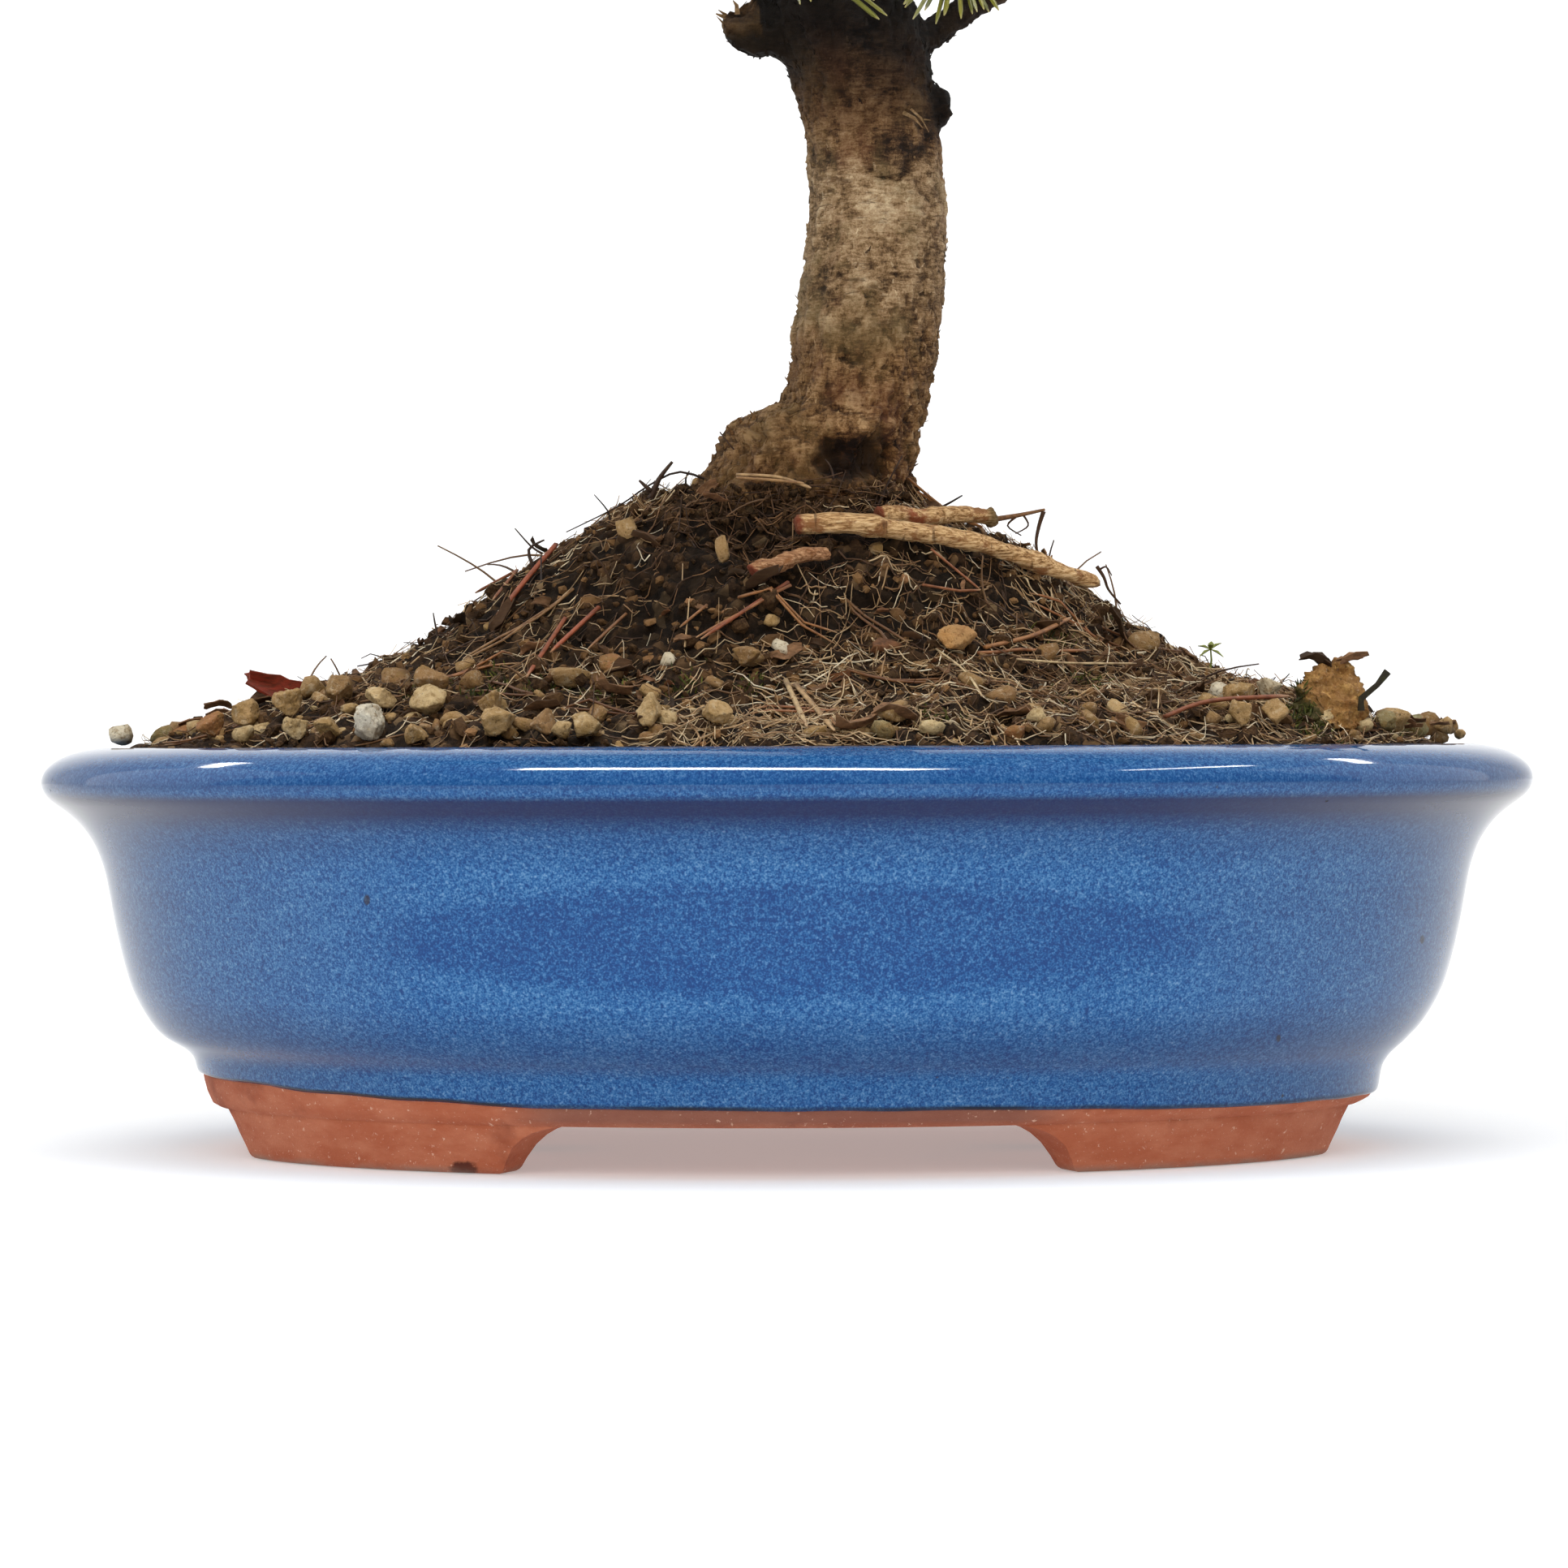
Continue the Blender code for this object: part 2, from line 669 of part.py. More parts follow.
def spray_shoots(tip, along, count):
    # A leader and its side shoots, spread flat about the branch's own direction
    flat = Vector((along.x, along.y, 0.0))
    upright = flat.length < UPRIGHT_LEAN
    flat.normalize()
    start = tip + along * GAP
    paths = [shoot_path(start, along, SHOOT_LENGTH, SHOOT_RADIUS)]
    root = start + along * SIDE_SHOOT_START
    for k in range(count - 1):
        side = 1 if k % 2 == 0 else -1
        swing = 2 * math.pi * k / (count - 1) if upright else side * SHOOT_SPREAD
        turned = Matrix.Rotation(swing, 3, "Z") @ flat
        rise = UPRIGHT_SIDE_RISE if upright else SIDE_SHOOT_RISE
        direction = (turned + Vector((0.0, 0.0, rise))).normalized()
        length = SHOOT_LENGTH * SIDE_SHOOT_SHARE
        paths.append(shoot_path(root, direction, length, SHOOT_RADIUS * SIDE_SHOOT_WIDTH))
    return paths


def make_sprays(branch_paths):
    rng = random.Random(SEED)
    thicket = Thicket()
    for low, high in zip(TRUNK_LINE[PLUG_LEVELS:], TRUNK_LINE[PLUG_LEVELS + 1:]):
        thicket.add(trunk_place(low[0]), trunk_place(high[0]), max(low[3], high[3]), "wood")
    for path in branch_paths:
        for low, high in zip(path, path[1:]):
            thicket.add(low[:3], high[:3], low[3], "wood")
    sprays = []
    for path, (_, _, _, _, count) in zip(branch_paths, BRANCHES):
        name = "needle_spray_%02d" % (len(sprays) + 1)
        tip = Vector(path[-1][:3])
        along = (tip - Vector(path[-2][:3])).normalized()
        shoots = spray_shoots(tip, along, count)
        for shoot in shoots:
            for low, high in zip(shoot, shoot[1:]):
                thicket.add(low[:3], high[:3], low[3], name)
        sprays.append((name, shoots))
    for name, shoots in sprays:
        pieces = [make_shoot(shoot, name, thicket, rng) for shoot in shoots]
        spray = pieces[0]
        spray.name = name
        combine(spray, pieces[1:], "UNION")


def make_stone(name, x, y, half_size, flatness, finish, rng, clearance=0.0):
    bm = bmesh.new()
    bmesh.ops.create_icosphere(bm, subdivisions=1, radius=1.0)
    turn = Matrix.Rotation(rng.uniform(0, math.pi), 3, "Z")
    width = rng.uniform(*GRAVEL_WIDTH)
    centre = Vector((x, y, mound_height(x, y) + half_size * (flatness - 2 * GRAVEL_SINK)))
    growth = 1 + clearance / (half_size * flatness * STONE_NARROWEST)
    for vertex in bm.verts:
        bumpy = vertex.co * (1 + rng.uniform(-STONE_ROUGHNESS, STONE_ROUGHNESS))
        shaped = Vector((bumpy.x, bumpy.y * width, bumpy.z * flatness)) * half_size
        vertex.co = centre + (turn @ shaped) * growth
    return add_object(name, bm, finish)


def gravel_places(rng):
    places = [(x, y, half_size) for _, x, y, half_size, _ in LARGE_STONES]
    places += [stone[:3] for stone in FRONT_GRAVEL]
    chosen = list(FRONT_GRAVEL)
    for first, last, count in GRAVEL_ARCS:
        found = 0
        while found < count:
            angle = math.radians(rng.uniform(first, last))
            share = rng.uniform(*GRAVEL_SHARE)
            x = MOUND_HALF_WIDTH * share * math.cos(angle)
            y = MOUND_HALF_DEPTH * share * math.sin(angle)
            half_size = rng.uniform(*GRAVEL_HALF_SIZE)
            apart = all(
                math.hypot(x - other_x, y - other_y) > (half_size + other) * GRAVEL_SPACING
                for other_x, other_y, other in places
            )
            if apart:
                places.append((x, y, half_size))
                chosen.append((x, y, half_size, rng.uniform(*GRAVEL_FLATNESS)))
                found += 1
    return chosen


def make_stones():
    rng = random.Random(SEED + 1)
    plans = [(name, x, y, size, flat, "rock") for name, x, y, size, flat in LARGE_STONES]
    for number, (x, y, size, flat) in enumerate(gravel_places(rng)):
        plans.append(("gravel_%02d" % (number + 1), x, y, size, flat, "pale_stone"))
    cutters = []
    for number, plan in enumerate(plans):
        make_stone(*plan, random.Random(number))
        cutters.append(make_stone("stone_cutter", *plan[1:], random.Random(number), clearance=GAP))
    return cutters


def make_sticks():
    cutters = []
    for name, points, root_radius, tip_radius in STICKS:
        path = []
        for k, (x, y, lift) in enumerate(points):
            radius = root_radius + (tip_radius - root_radius) * k / (len(points) - 1)
            path.append((x, y, mound_height(x, y) + radius + lift, radius))
        path = smooth_curve(path, 2)
        tube(name, path, STICK_SIDES, "root_wood")
        wider = [(*point[:3], point[3] + GAP * 1.25) for point in path]
        first = Vector(wider[0][:3])
        last = Vector(wider[-1][:3])
        wider[0] = (*(first - (Vector(wider[1][:3]) - first).normalized() * GAP), wider[0][3])
        wider[-1] = (*(last - (Vector(wider[-2][:3]) - last).normalized() * GAP), wider[-1][3])
        cutters.append(tube("stick_cutter", wider, STICK_SIDES, "soil"))
    return cutters


def screen_cutter(x, half):
    bm = bmesh.new()
    side = 2 * (half + GAP)
    high = FLOOR_HEIGHT + SCREEN_THICKNESS + 2 * GAP
    low = FLOOR_HEIGHT - GAP
    bmesh.ops.create_cube(bm, size=1.0)
    for vertex in bm.verts:
        z = high if vertex.co.z > 0 else low
        vertex.co = Vector((x + vertex.co.x * side, vertex.co.y * side, z))
    return add_object("screen_cutter", bm, "soil")


def make_soil(cutters):
    # The wall follows the pot's inside; the top steps in towards the trunk along the mound
    levels = [(half_width, height) for half_width, height in reversed(POT_INSIDE) if height < SOIL_WALL_TOP]
    rings = [oval_ring(half_width - GAP, height + GAP) for half_width, height in levels]
    edge = rings[-1]
    for share, _ in reversed(MOUND[1:]):
        ring = []
        for x, y, _ in edge:
            reach = share * MOUND_EDGE_SHARE
            ring.append((x * reach, y * reach, mound_height(x * reach, y * reach)))
        rings.append(ring)
    bm = bmesh.new()
    loft(bm, rings)
    soil = add_object("soil", bm, "soil")
    combine(soil, cutters, "DIFFERENCE")
    shade_round(soil)


clear_scene()
make_pot()
screen_half = make_screen("drainage_screen_left", -DRAIN_OFFSET)
make_screen("drainage_screen_right", DRAIN_OFFSET)
branch_curves = [branch_path(*branch[:4]) for branch in BRANCHES]
make_trunk(branch_curves)
make_sprays(branch_curves)
soil_cutters = [root_plug_cutter()]
soil_cutters += [screen_cutter(side * DRAIN_OFFSET, screen_half) for side in (-1, 1)]
soil_cutters += make_stones()
soil_cutters += make_sticks()
make_soil(soil_cutters)
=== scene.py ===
import math
import random

import bmesh
import bpy
from mathutils import Matrix, Vector, noise
from mathutils.bvhtree import BVHTree


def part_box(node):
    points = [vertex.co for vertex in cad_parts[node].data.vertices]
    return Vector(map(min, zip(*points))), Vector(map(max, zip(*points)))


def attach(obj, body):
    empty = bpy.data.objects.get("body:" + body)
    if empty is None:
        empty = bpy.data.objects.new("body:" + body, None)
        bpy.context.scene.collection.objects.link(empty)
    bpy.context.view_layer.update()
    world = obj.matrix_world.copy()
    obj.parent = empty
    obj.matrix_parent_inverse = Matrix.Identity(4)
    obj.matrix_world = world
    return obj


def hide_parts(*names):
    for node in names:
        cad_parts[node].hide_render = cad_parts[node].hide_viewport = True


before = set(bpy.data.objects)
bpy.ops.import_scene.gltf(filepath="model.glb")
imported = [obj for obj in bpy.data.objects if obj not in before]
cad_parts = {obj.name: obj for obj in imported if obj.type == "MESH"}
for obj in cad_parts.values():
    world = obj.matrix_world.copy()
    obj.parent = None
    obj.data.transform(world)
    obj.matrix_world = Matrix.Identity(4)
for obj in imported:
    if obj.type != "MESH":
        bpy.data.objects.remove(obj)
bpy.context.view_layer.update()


# Handling, so that nothing stays selected by chance

def letGo():
    if bpy.context.object is not None and bpy.context.object.mode != 'OBJECT':
        bpy.ops.object.mode_set(mode='OBJECT')
    bpy.ops.object.select_all(action='DESELECT')


def pickUp(*items):
    letGo()
    for item in items:
        item.select_set(True)
    bpy.context.view_layer.objects.active = items[0]


def editAll(piece):
    pickUp(piece)
    bpy.ops.object.mode_set(mode='EDIT')
    bpy.ops.mesh.select_all(action='SELECT')


def pickVertices(piece, rule):
    # in edit mode, only the vertices that answer the rule are left selected
    bpy.ops.mesh.select_mode(type='VERT')
    bpy.ops.mesh.select_all(action='DESELECT')
    shape = bmesh.from_edit_mesh(piece.data)
    for vertex in shape.verts:
        vertex.select = rule(vertex)
    shape.select_flush_mode()
    bmesh.update_edit_mesh(piece.data)


def mergeDoubles(piece, distance=0.000005):
    editAll(piece)
    bpy.ops.mesh.remove_doubles(threshold=distance)
    bpy.ops.mesh.normals_make_consistent(inside=False)
    letGo()


def addModifier(piece, kind, **values):
    modifier = piece.modifiers.new(kind.lower(), kind)
    for key, value in values.items():
        setattr(modifier, key, value)
    pickUp(piece)
    bpy.ops.object.modifier_apply(modifier=modifier.name)
    letGo()


def roughen(piece, kind, grain, depth, middle=0.5, group='', octaves=2):
    # pushes the surface in and out along a procedural pattern
    pattern = bpy.data.textures.new('roughness', kind)
    pattern.noise_scale = grain
    if kind == 'CLOUDS':
        pattern.noise_depth = octaves
    addModifier(piece, 'DISPLACE', texture=pattern, strength=depth, mid_level=middle,
                texture_coords='LOCAL', direction='NORMAL', vertex_group=group)


def tapered(radius, count, loss):
    # radii along a strand that thins towards its tip
    return [radius * (1 - loss * k / count) for k in range(count + 1)]


def curveThrough(points, steps):
    # smooth line through a few points of any number of coordinates
    endReflection = [points[0], *points, points[-1]]
    line = []
    for a, b, c, d in zip(endReflection, endReflection[1:], endReflection[2:], endReflection[3:]):
        for step in range(steps):
            t = step / steps
            line.append(tuple(
                0.5 * (2 * q + (r - p) * t + (2 * p - 5 * q + 4 * r - s) * t * t
                       + (3 * q - p - 3 * r + s) * t ** 3)
                for p, q, r, s in zip(a, b, c, d)))
    line.append(tuple(points[-1]))
    return line


def betweenStops(stops, place):
    for (low, lowValue), (high, highValue) in zip(stops, stops[1:]):
        if place <= high:
            return lowValue + (highValue - lowValue) * max(0.0, place - low) / (high - low)
    return stops[-1][1]


def newPiece(name, verts, faces, tints):
    mesh = bpy.data.meshes.new(name)
    mesh.from_pydata(verts, [], faces)
    layer = mesh.color_attributes.new('tint', 'FLOAT_COLOR', 'POINT')
    layer.data.foreach_set('color', [value for tint in tints for value in tint])
    piece = bpy.data.objects.new(name, mesh)
    bpy.context.scene.collection.objects.link(piece)
    return piece


def strandPiece(name, strands, sides, flatness=1.0):
    # each strand is its points, its radii, a colour draw, a kind and the way its flat side faces
    verts, faces, tints = [], [], []
    for points, radii, draw, kind, facing in strands:
        first = len(verts)
        last = len(points) - 1
        for k, (point, radius) in enumerate(zip(points, radii)):
            along = points[min(k + 1, last)] - points[max(k - 1, 0)]
            side = along.cross(facing)
            if side.length < 1e-7:
                side = along.orthogonal()
            side.normalize()
            over = side.cross(along).normalized()
            for turn in range(sides):
                angle = 2 * math.pi * turn / sides
                reach = side * (math.cos(angle) * radius) + over * (math.sin(angle) * radius * flatness)
                verts.append(point + reach)
                tints.append((draw, k / last, kind, 1.0))
        for k in range(last):
            for turn in range(sides):
                a = first + k * sides + turn
                b = first + k * sides + (turn + 1) % sides
                faces.append((a, a + sides, b + sides, b))
        faces.append(tuple(first + turn for turn in range(sides)))
        faces.append(tuple(first + last * sides + turn for turn in reversed(range(sides))))
    return newPiece(name, verts, faces, tints)


def copiesPiece(name, moulds, places):
    # each place is the mould's number, the middle, the turned and scaled axes, and a colour draw
    shapes = []
    for mould in moulds:
        points = [vertex.co.copy() for vertex in mould.data.vertices]
        shapes.append((points, [tuple(face.vertices) for face in mould.data.polygons]))
    verts, faces, tints = [], [], []
    for number, middle, axes, draw, kind in places:
        points, outline = shapes[number]
        first = len(verts)
        verts.extend(middle + axes @ point for point in points)
        tints.extend([(draw, 0.5, kind, 1.0)] * len(points))
        faces.extend(tuple(first + corner for corner in face) for face in outline)
    return newPiece(name, verts, faces, tints)


def putAway(*items):
    for item in items:
        mesh = item.data
        bpy.data.objects.remove(item)
        bpy.data.meshes.remove(mesh)


def extrudeBy(x, y, z):
    bpy.ops.mesh.extrude_region_move(TRANSFORM_OT_translate={'value': (x, y, z)})


def held(value):
    return max(0.0, min(1.0, value))


def smoothFaces(piece, degrees=None):
    pickUp(piece)
    if degrees is None:
        bpy.ops.object.shade_smooth()
    else:
        bpy.ops.object.shade_smooth_by_angle(angle=math.radians(degrees))
    letGo()


def placePiece(piece, name, material, slotName, *replaced):
    piece.name = name
    piece.data.name = name
    piece.data.materials.clear()
    piece.data.materials.append(material)
    pickUp(piece)
    bpy.ops.object.transform_apply(location=True, rotation=True, scale=True)
    letGo()
    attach(piece, "root")
    if replaced:
        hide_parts(*replaced)
    return piece


# Material handling

def newMaterial(name, roughness=0.8, specular=0.3):
    material = bpy.data.materials.new(name)
    material.use_nodes = True
    tree = material.node_tree
    shader = tree.nodes["Principled BSDF"]
    shader.inputs['Roughness'].default_value = roughness
    shader.inputs['Specular IOR Level'].default_value = specular
    return material, tree, shader


def asColour(paint):
    # a grey stays as it is; a colour comes in the 0 to 255 of a paint program
    if isinstance(paint, (int, float)):
        return (paint, paint, paint, 1.0)
    return (*(value / 255 / 12.92 if value < 10.3 else ((value / 255 + 0.055) / 1.055) ** 2.4
              for value in paint), 1.0)


def feed(tree, value, socket):
    # a socket takes another node's output or a value of its own
    if isinstance(value, bpy.types.NodeSocket):
        tree.links.new(value, socket)
    else:
        socket.default_value = asColour(value) if socket.type == 'RGBA' else value


def placeOf(tree, scale=(1, 1, 1)):
    coords = tree.nodes.new('ShaderNodeTexCoord')
    mapping = tree.nodes.new('ShaderNodeMapping')
    mapping.inputs['Scale'].default_value = scale
    tree.links.new(coords.outputs['Object'], mapping.inputs['Vector'])
    return mapping.outputs['Vector']


def partsOf(tree):
    coords = tree.nodes.new('ShaderNodeTexCoord')
    split = tree.nodes.new('ShaderNodeSeparateXYZ')
    tree.links.new(coords.outputs['Object'], split.inputs[0])
    return split.outputs


def noiseAt(tree, place, scale, detail=3.0, roughness=0.55, distortion=0.0):
    node = tree.nodes.new('ShaderNodeTexNoise')
    node.inputs['Scale'].default_value = scale
    node.inputs['Detail'].default_value = detail
    node.inputs['Roughness'].default_value = roughness
    node.inputs['Distortion'].default_value = distortion
    tree.links.new(place, node.inputs['Vector'])
    return node.outputs['Fac']


def cellsAt(tree, place, scale):
    node = tree.nodes.new('ShaderNodeTexVoronoi')
    node.inputs['Scale'].default_value = scale
    tree.links.new(place, node.inputs['Vector'])
    return node.outputs


def rampOf(tree, source, *stops):
    # each stop is a place from 0 to 1 and a colour or grey value
    node = tree.nodes.new('ShaderNodeValToRGB')
    ramp = node.color_ramp
    while len(ramp.elements) < len(stops):
        ramp.elements.new(0.5)
    for element, (position, colour) in zip(ramp.elements, stops):
        element.position = position
        element.color = asColour(colour)
    tree.links.new(source, node.inputs['Fac'])
    return node.outputs['Color']


def mixColours(tree, share, first, second, blend='MIX'):
    node = tree.nodes.new('ShaderNodeMix')
    node.data_type = 'RGBA'
    node.blend_type = blend
    for value, number in ((share, 0), (first, 6), (second, 7)):
        feed(tree, value, node.inputs[number])
    return node.outputs[2]


def veil(tree, body, colour, pattern, *stops):
    # lays a colour over the body, as thickly as the stops say for each value of the pattern
    return mixColours(tree, rampOf(tree, pattern, *stops), body, colour)


def mathOf(tree, operation, *values):
    node = tree.nodes.new('ShaderNodeMath')
    node.operation = operation
    for value, socket in zip(values, node.inputs):
        feed(tree, value, socket)
    return node.outputs[0]


def product(tree, first, second):
    return mathOf(tree, 'MULTIPLY', first, second)


def swayed(tree, base, pattern, amount):
    # the base, moved up and down by a pattern that lies round a half
    return mathOf(tree, 'MULTIPLY_ADD', mathOf(tree, 'SUBTRACT', pattern, 0.5), amount, base)


def ovalAt(tree, parts, x, z, wide, high):
    # 0 in the middle of an upright oval and 1 along its edge
    across = mathOf(tree, 'DIVIDE', mathOf(tree, 'SUBTRACT', parts['X'], x), wide)
    upward = mathOf(tree, 'DIVIDE', mathOf(tree, 'SUBTRACT', parts['Z'], z), high)
    return mathOf(tree, 'ADD', product(tree, across, across), product(tree, upward, upward))


def tintOf(tree):
    attribute = tree.nodes.new('ShaderNodeAttribute')
    attribute.attribute_name = 'tint'
    split = tree.nodes.new('ShaderNodeSeparateColor')
    tree.links.new(attribute.outputs['Color'], split.inputs[0])
    return split.outputs


def bumpFrom(tree, shader, *layers):
    # each layer is a height, a strength and a depth in metres, laid over the one before
    normal = None
    for height, strength, depth in layers:
        bump = tree.nodes.new('ShaderNodeBump')
        bump.inputs['Strength'].default_value = strength
        bump.inputs['Distance'].default_value = depth
        tree.links.new(height, bump.inputs['Height'])
        if normal is not None:
            tree.links.new(normal, bump.inputs['Normal'])
        normal = bump.outputs['Normal']
    tree.links.new(normal, shader.inputs['Normal'])


def tintedMaterial(name, gloss, stops, grain, mottle, mottleColour):
    # each copy has the colour of its own draw, mottled along its length
    material, tree, shader = newMaterial(name, *gloss)
    body = rampOf(tree, tintOf(tree)['Red'], *stops)
    body = veil(tree, body, mottleColour, noiseAt(tree, placeOf(tree), *grain), *mottle)
    tree.links.new(body, shader.inputs['Base Color'])
    return material


# Camera: level, at the height of the rim, where the photo was taken from

rimHeight = 0.104            # of the pot, over the table, in metres

cameraPlan = {
    'distance': 1.458,       # metres in front of the pot's middle
    'height': rimHeight,
    'sideStep': -0.0008,
    'lens': 130.4,
    'sensor': 36.0,
    'shiftDown': -0.0269,
    'roll': 0.2,             # degrees
}


def setCamera():
    plan = cameraPlan
    cameraData = bpy.data.cameras.new('photoCamera')
    cameraData.lens = plan['lens']
    cameraData.sensor_width = plan['sensor']
    cameraData.shift_y = plan['shiftDown']
    camera = bpy.data.objects.new('photoCamera', cameraData)
    bpy.context.scene.collection.objects.link(camera)
    camera.location = (plan['sideStep'], -plan['distance'], plan['height'])
    camera.rotation_euler = (math.radians(90), math.radians(plan['roll']), 0)
    bpy.context.scene.camera = camera
    print('camera set')


# Studio: a white paper sweep, a bright even room and a few soft lamps

studioPlan = {
    'floorSize': 9.0,
    'sweepRadius': 1.2,
    'wallHeight': 3.5,
    'paper': (0.8, 0.8, 0.8),
    'paperGlow': 0.3,       # the table is lit a little from below
    'roomFront': 0.12,       # brightness of the room behind the camera
    'roomBack': 0.85,
    'roomTop': 0.5,
    'lamps': (
        # name, place, aim, width, height, power, lights the piece, seen in the glaze
        ('overheadBox', (0.0, -0.5, 2.0), (0, 0, 0.15), 1.8, 1.4, 32, True, False),
        ('tubeLamp', (-0.12, -0.4, 1.75), (0.0, -0.1, 0.1), 1.1, 0.27, 50, False, True),
        ('rightTube', (1.12, -0.17, 1.75), (0.0, -0.1, 0.1), 0.9, 0.07, 8, False, True),
        ('leftEndTube', (-1.04, 0.97, 1.44), (0.0, -0.1, 0.1), 0.42, 0.07, 5, False, True),
        ('rightEndTube', (1.04, 0.97, 1.44), (0.0, -0.1, 0.1), 0.42, 0.06, 4, False, True),
        ('frontBox', (-0.4, -2.4, 1.3), (0, 0, 0.12), 2.0, 1.4, 30, True, False),
        ('leftPanel', (-1.5, 0.3, 0.7), (0, 0, 0.15), 1.2, 1.6, 5, False, True),
        ('rightPanel', (1.5, 0.3, 0.7), (0, 0, 0.15), 1.2, 1.6, 5, False, True),
        ('wallBox', (0.0, 2.2, 2.6), (0, 5.0, 0.6), 4.0, 1.0, 90, True, False),
    ),
}


def makeStudio():
    letGo()
    plan = studioPlan
    bpy.ops.mesh.primitive_plane_add(size=plan['floorSize'], location=(0, 0, -0.0002))
    sweep = bpy.context.object
    bpy.ops.object.mode_set(mode='EDIT')
    pickVertices(sweep, lambda vertex: vertex.co.y > 0)
    turns = 12
    reach = plan['sweepRadius'] * math.pi / 2 / turns
    for step in range(turns):
        angle = math.pi / 2 * (step + 0.5) / turns
        extrudeBy(0, reach * math.cos(angle), reach * math.sin(angle))
    extrudeBy(0, 0, plan['wallHeight'])
    letGo()
    sweep.name = 'paperSweep'
    smoothFaces(sweep)
    paper, tree, shader = newMaterial('whitePaper', 0.95, 0.1)
    shader.inputs['Base Color'].default_value = (*plan['paper'], 1)
    shader.inputs['Emission Color'].default_value = (1, 1, 1, 1)
    shader.inputs['Emission Strength'].default_value = plan['paperGlow']
    sweep.data.materials.append(paper)

    for name, place, aim, width, height, power, lights, seen in plan['lamps']:
        light = bpy.data.lights.new(name, 'AREA')
        light.shape = 'RECTANGLE'
        light.size = width
        light.size_y = height
        light.energy = power
        lamp = bpy.data.objects.new(name, light)
        bpy.context.scene.collection.objects.link(lamp)
        lamp.location = place
        lamp.rotation_euler = (Vector(aim) - Vector(place)).to_track_quat('-Z', 'Y').to_euler()
        lamp.visible_camera = False
        lamp.visible_diffuse = lights
        lamp.visible_glossy = seen

    room = bpy.data.worlds.new('brightRoom')
    bpy.context.scene.world = room
    room.use_nodes = True
    tree = room.node_tree
    coords = tree.nodes.new('ShaderNodeTexCoord')
    split = tree.nodes.new('ShaderNodeSeparateXYZ')
    tree.links.new(coords.outputs['Generated'], split.inputs[0])
    frontBack = mathOf(tree, 'MULTIPLY_ADD', split.outputs['Y'], 0.5, 0.5)
    walls = rampOf(tree, frontBack, (0.0, plan['roomFront']), (0.34, plan['roomFront']),
                   (0.52, plan['roomBack']), (1.0, plan['roomBack'] * 1.1))
    upShare = rampOf(tree, split.outputs['Z'], (0.35, 0.0), (0.75, 1.0))
    glow = mixColours(tree, upShare, walls, plan['roomTop'])
    air = tree.nodes['Background']
    tree.links.new(glow, air.inputs['Color'])
    air.inputs['Strength'].default_value = 1.0
    bpy.context.scene.view_settings.view_transform = 'Standard'
    print('studio lit')


# Pot: one oval ring drawn up the outside, over the lip and down the inside

potPlan = {
    'sides': 240,
    'depthLess': 0.04,          # how much less half depth than half width
    'footRing': 0.128,
    'footHeight': 0.012,
    'clayEdge': (
        (0.146, 0.012), (0.1474, 0.0127), (0.1487, 0.014), (0.1494, 0.0152), (0.1498, 0.016),
    ),
    'glazeFoot': (
        (0.1501, 0.0161), (0.1507, 0.0163), (0.1511, 0.0168), (0.1514, 0.0178),
    ),
    'outside': (
        (0.1518, 0.02), (0.1525, 0.0225), (0.1546, 0.0252), (0.1577, 0.0277), (0.1616, 0.0315),
        (0.1645, 0.0357), (0.1667, 0.0398), (0.1684, 0.044), (0.1707, 0.0523), (0.1725, 0.0607),
        (0.174, 0.069), (0.1751, 0.0735), (0.1768, 0.078), (0.1789, 0.0815), (0.1815, 0.0846),
        (0.1847, 0.0873), (0.188, 0.0897), (0.1898, 0.0919), (0.1904, 0.0942), (0.1898, 0.0966),
        (0.1882, 0.0986), (0.1857, 0.1003), (0.1826, 0.1016), (0.1788, 0.1025),
    ),
    'inside': (
        (0.1755, 0.103), (0.173, 0.1028), (0.1708, 0.1018), (0.1692, 0.0998), (0.1676, 0.096),
        (0.1655, 0.07), (0.16, 0.043), (0.149, 0.0265), (0.132, 0.021),
    ),
    'glazeSlope': -0.0105,       # the dipped line runs lower towards the right
    'glazeWave': 0.0007,
    'glazeRise': (
        (-0.15, 0.0026), (-0.128, 0.0026), (-0.119, 0.0015), (-0.106, 0.001), (-0.08, 0.0002),
        (-0.06, -0.0005), (-0.03, 0.0),
    ),
    'footAngles': (15.0, 67.5),
    'footSteps': (
        # share of the way down, share of the foot's length left, thinning each side, length left at the arch
        (0.06, 0.97, 0.0, 0.955), (0.14, 0.945, 0.0002, 0.905), (0.26, 0.92, 0.0006, 0.86),
        (0.45, 0.895, 0.0012, 0.815), (0.72, 0.868, 0.0024, 0.78), (1.0, 0.84, 0.0035, 0.752),
    ),
    'drainHoles': ((-0.062, 0.0, 0.01), (0.062, 0.0, 0.01)),
    'wireHoles': (0.034, 0.04, 0.0026),
    'drag': 0.00035,             # unevenness left by throwing
    'wallFoot': (0.146, 0.106),
    'clayTop': 0.0126,           # the dipped line moves between these two heights
    'trueAbove': 0.03,
}


def ovalAngle(x, y):
    width = potPlan['clayEdge'][0][0]
    return math.degrees(math.atan2(y / (width - potPlan['depthLess']), x / width)) % 360


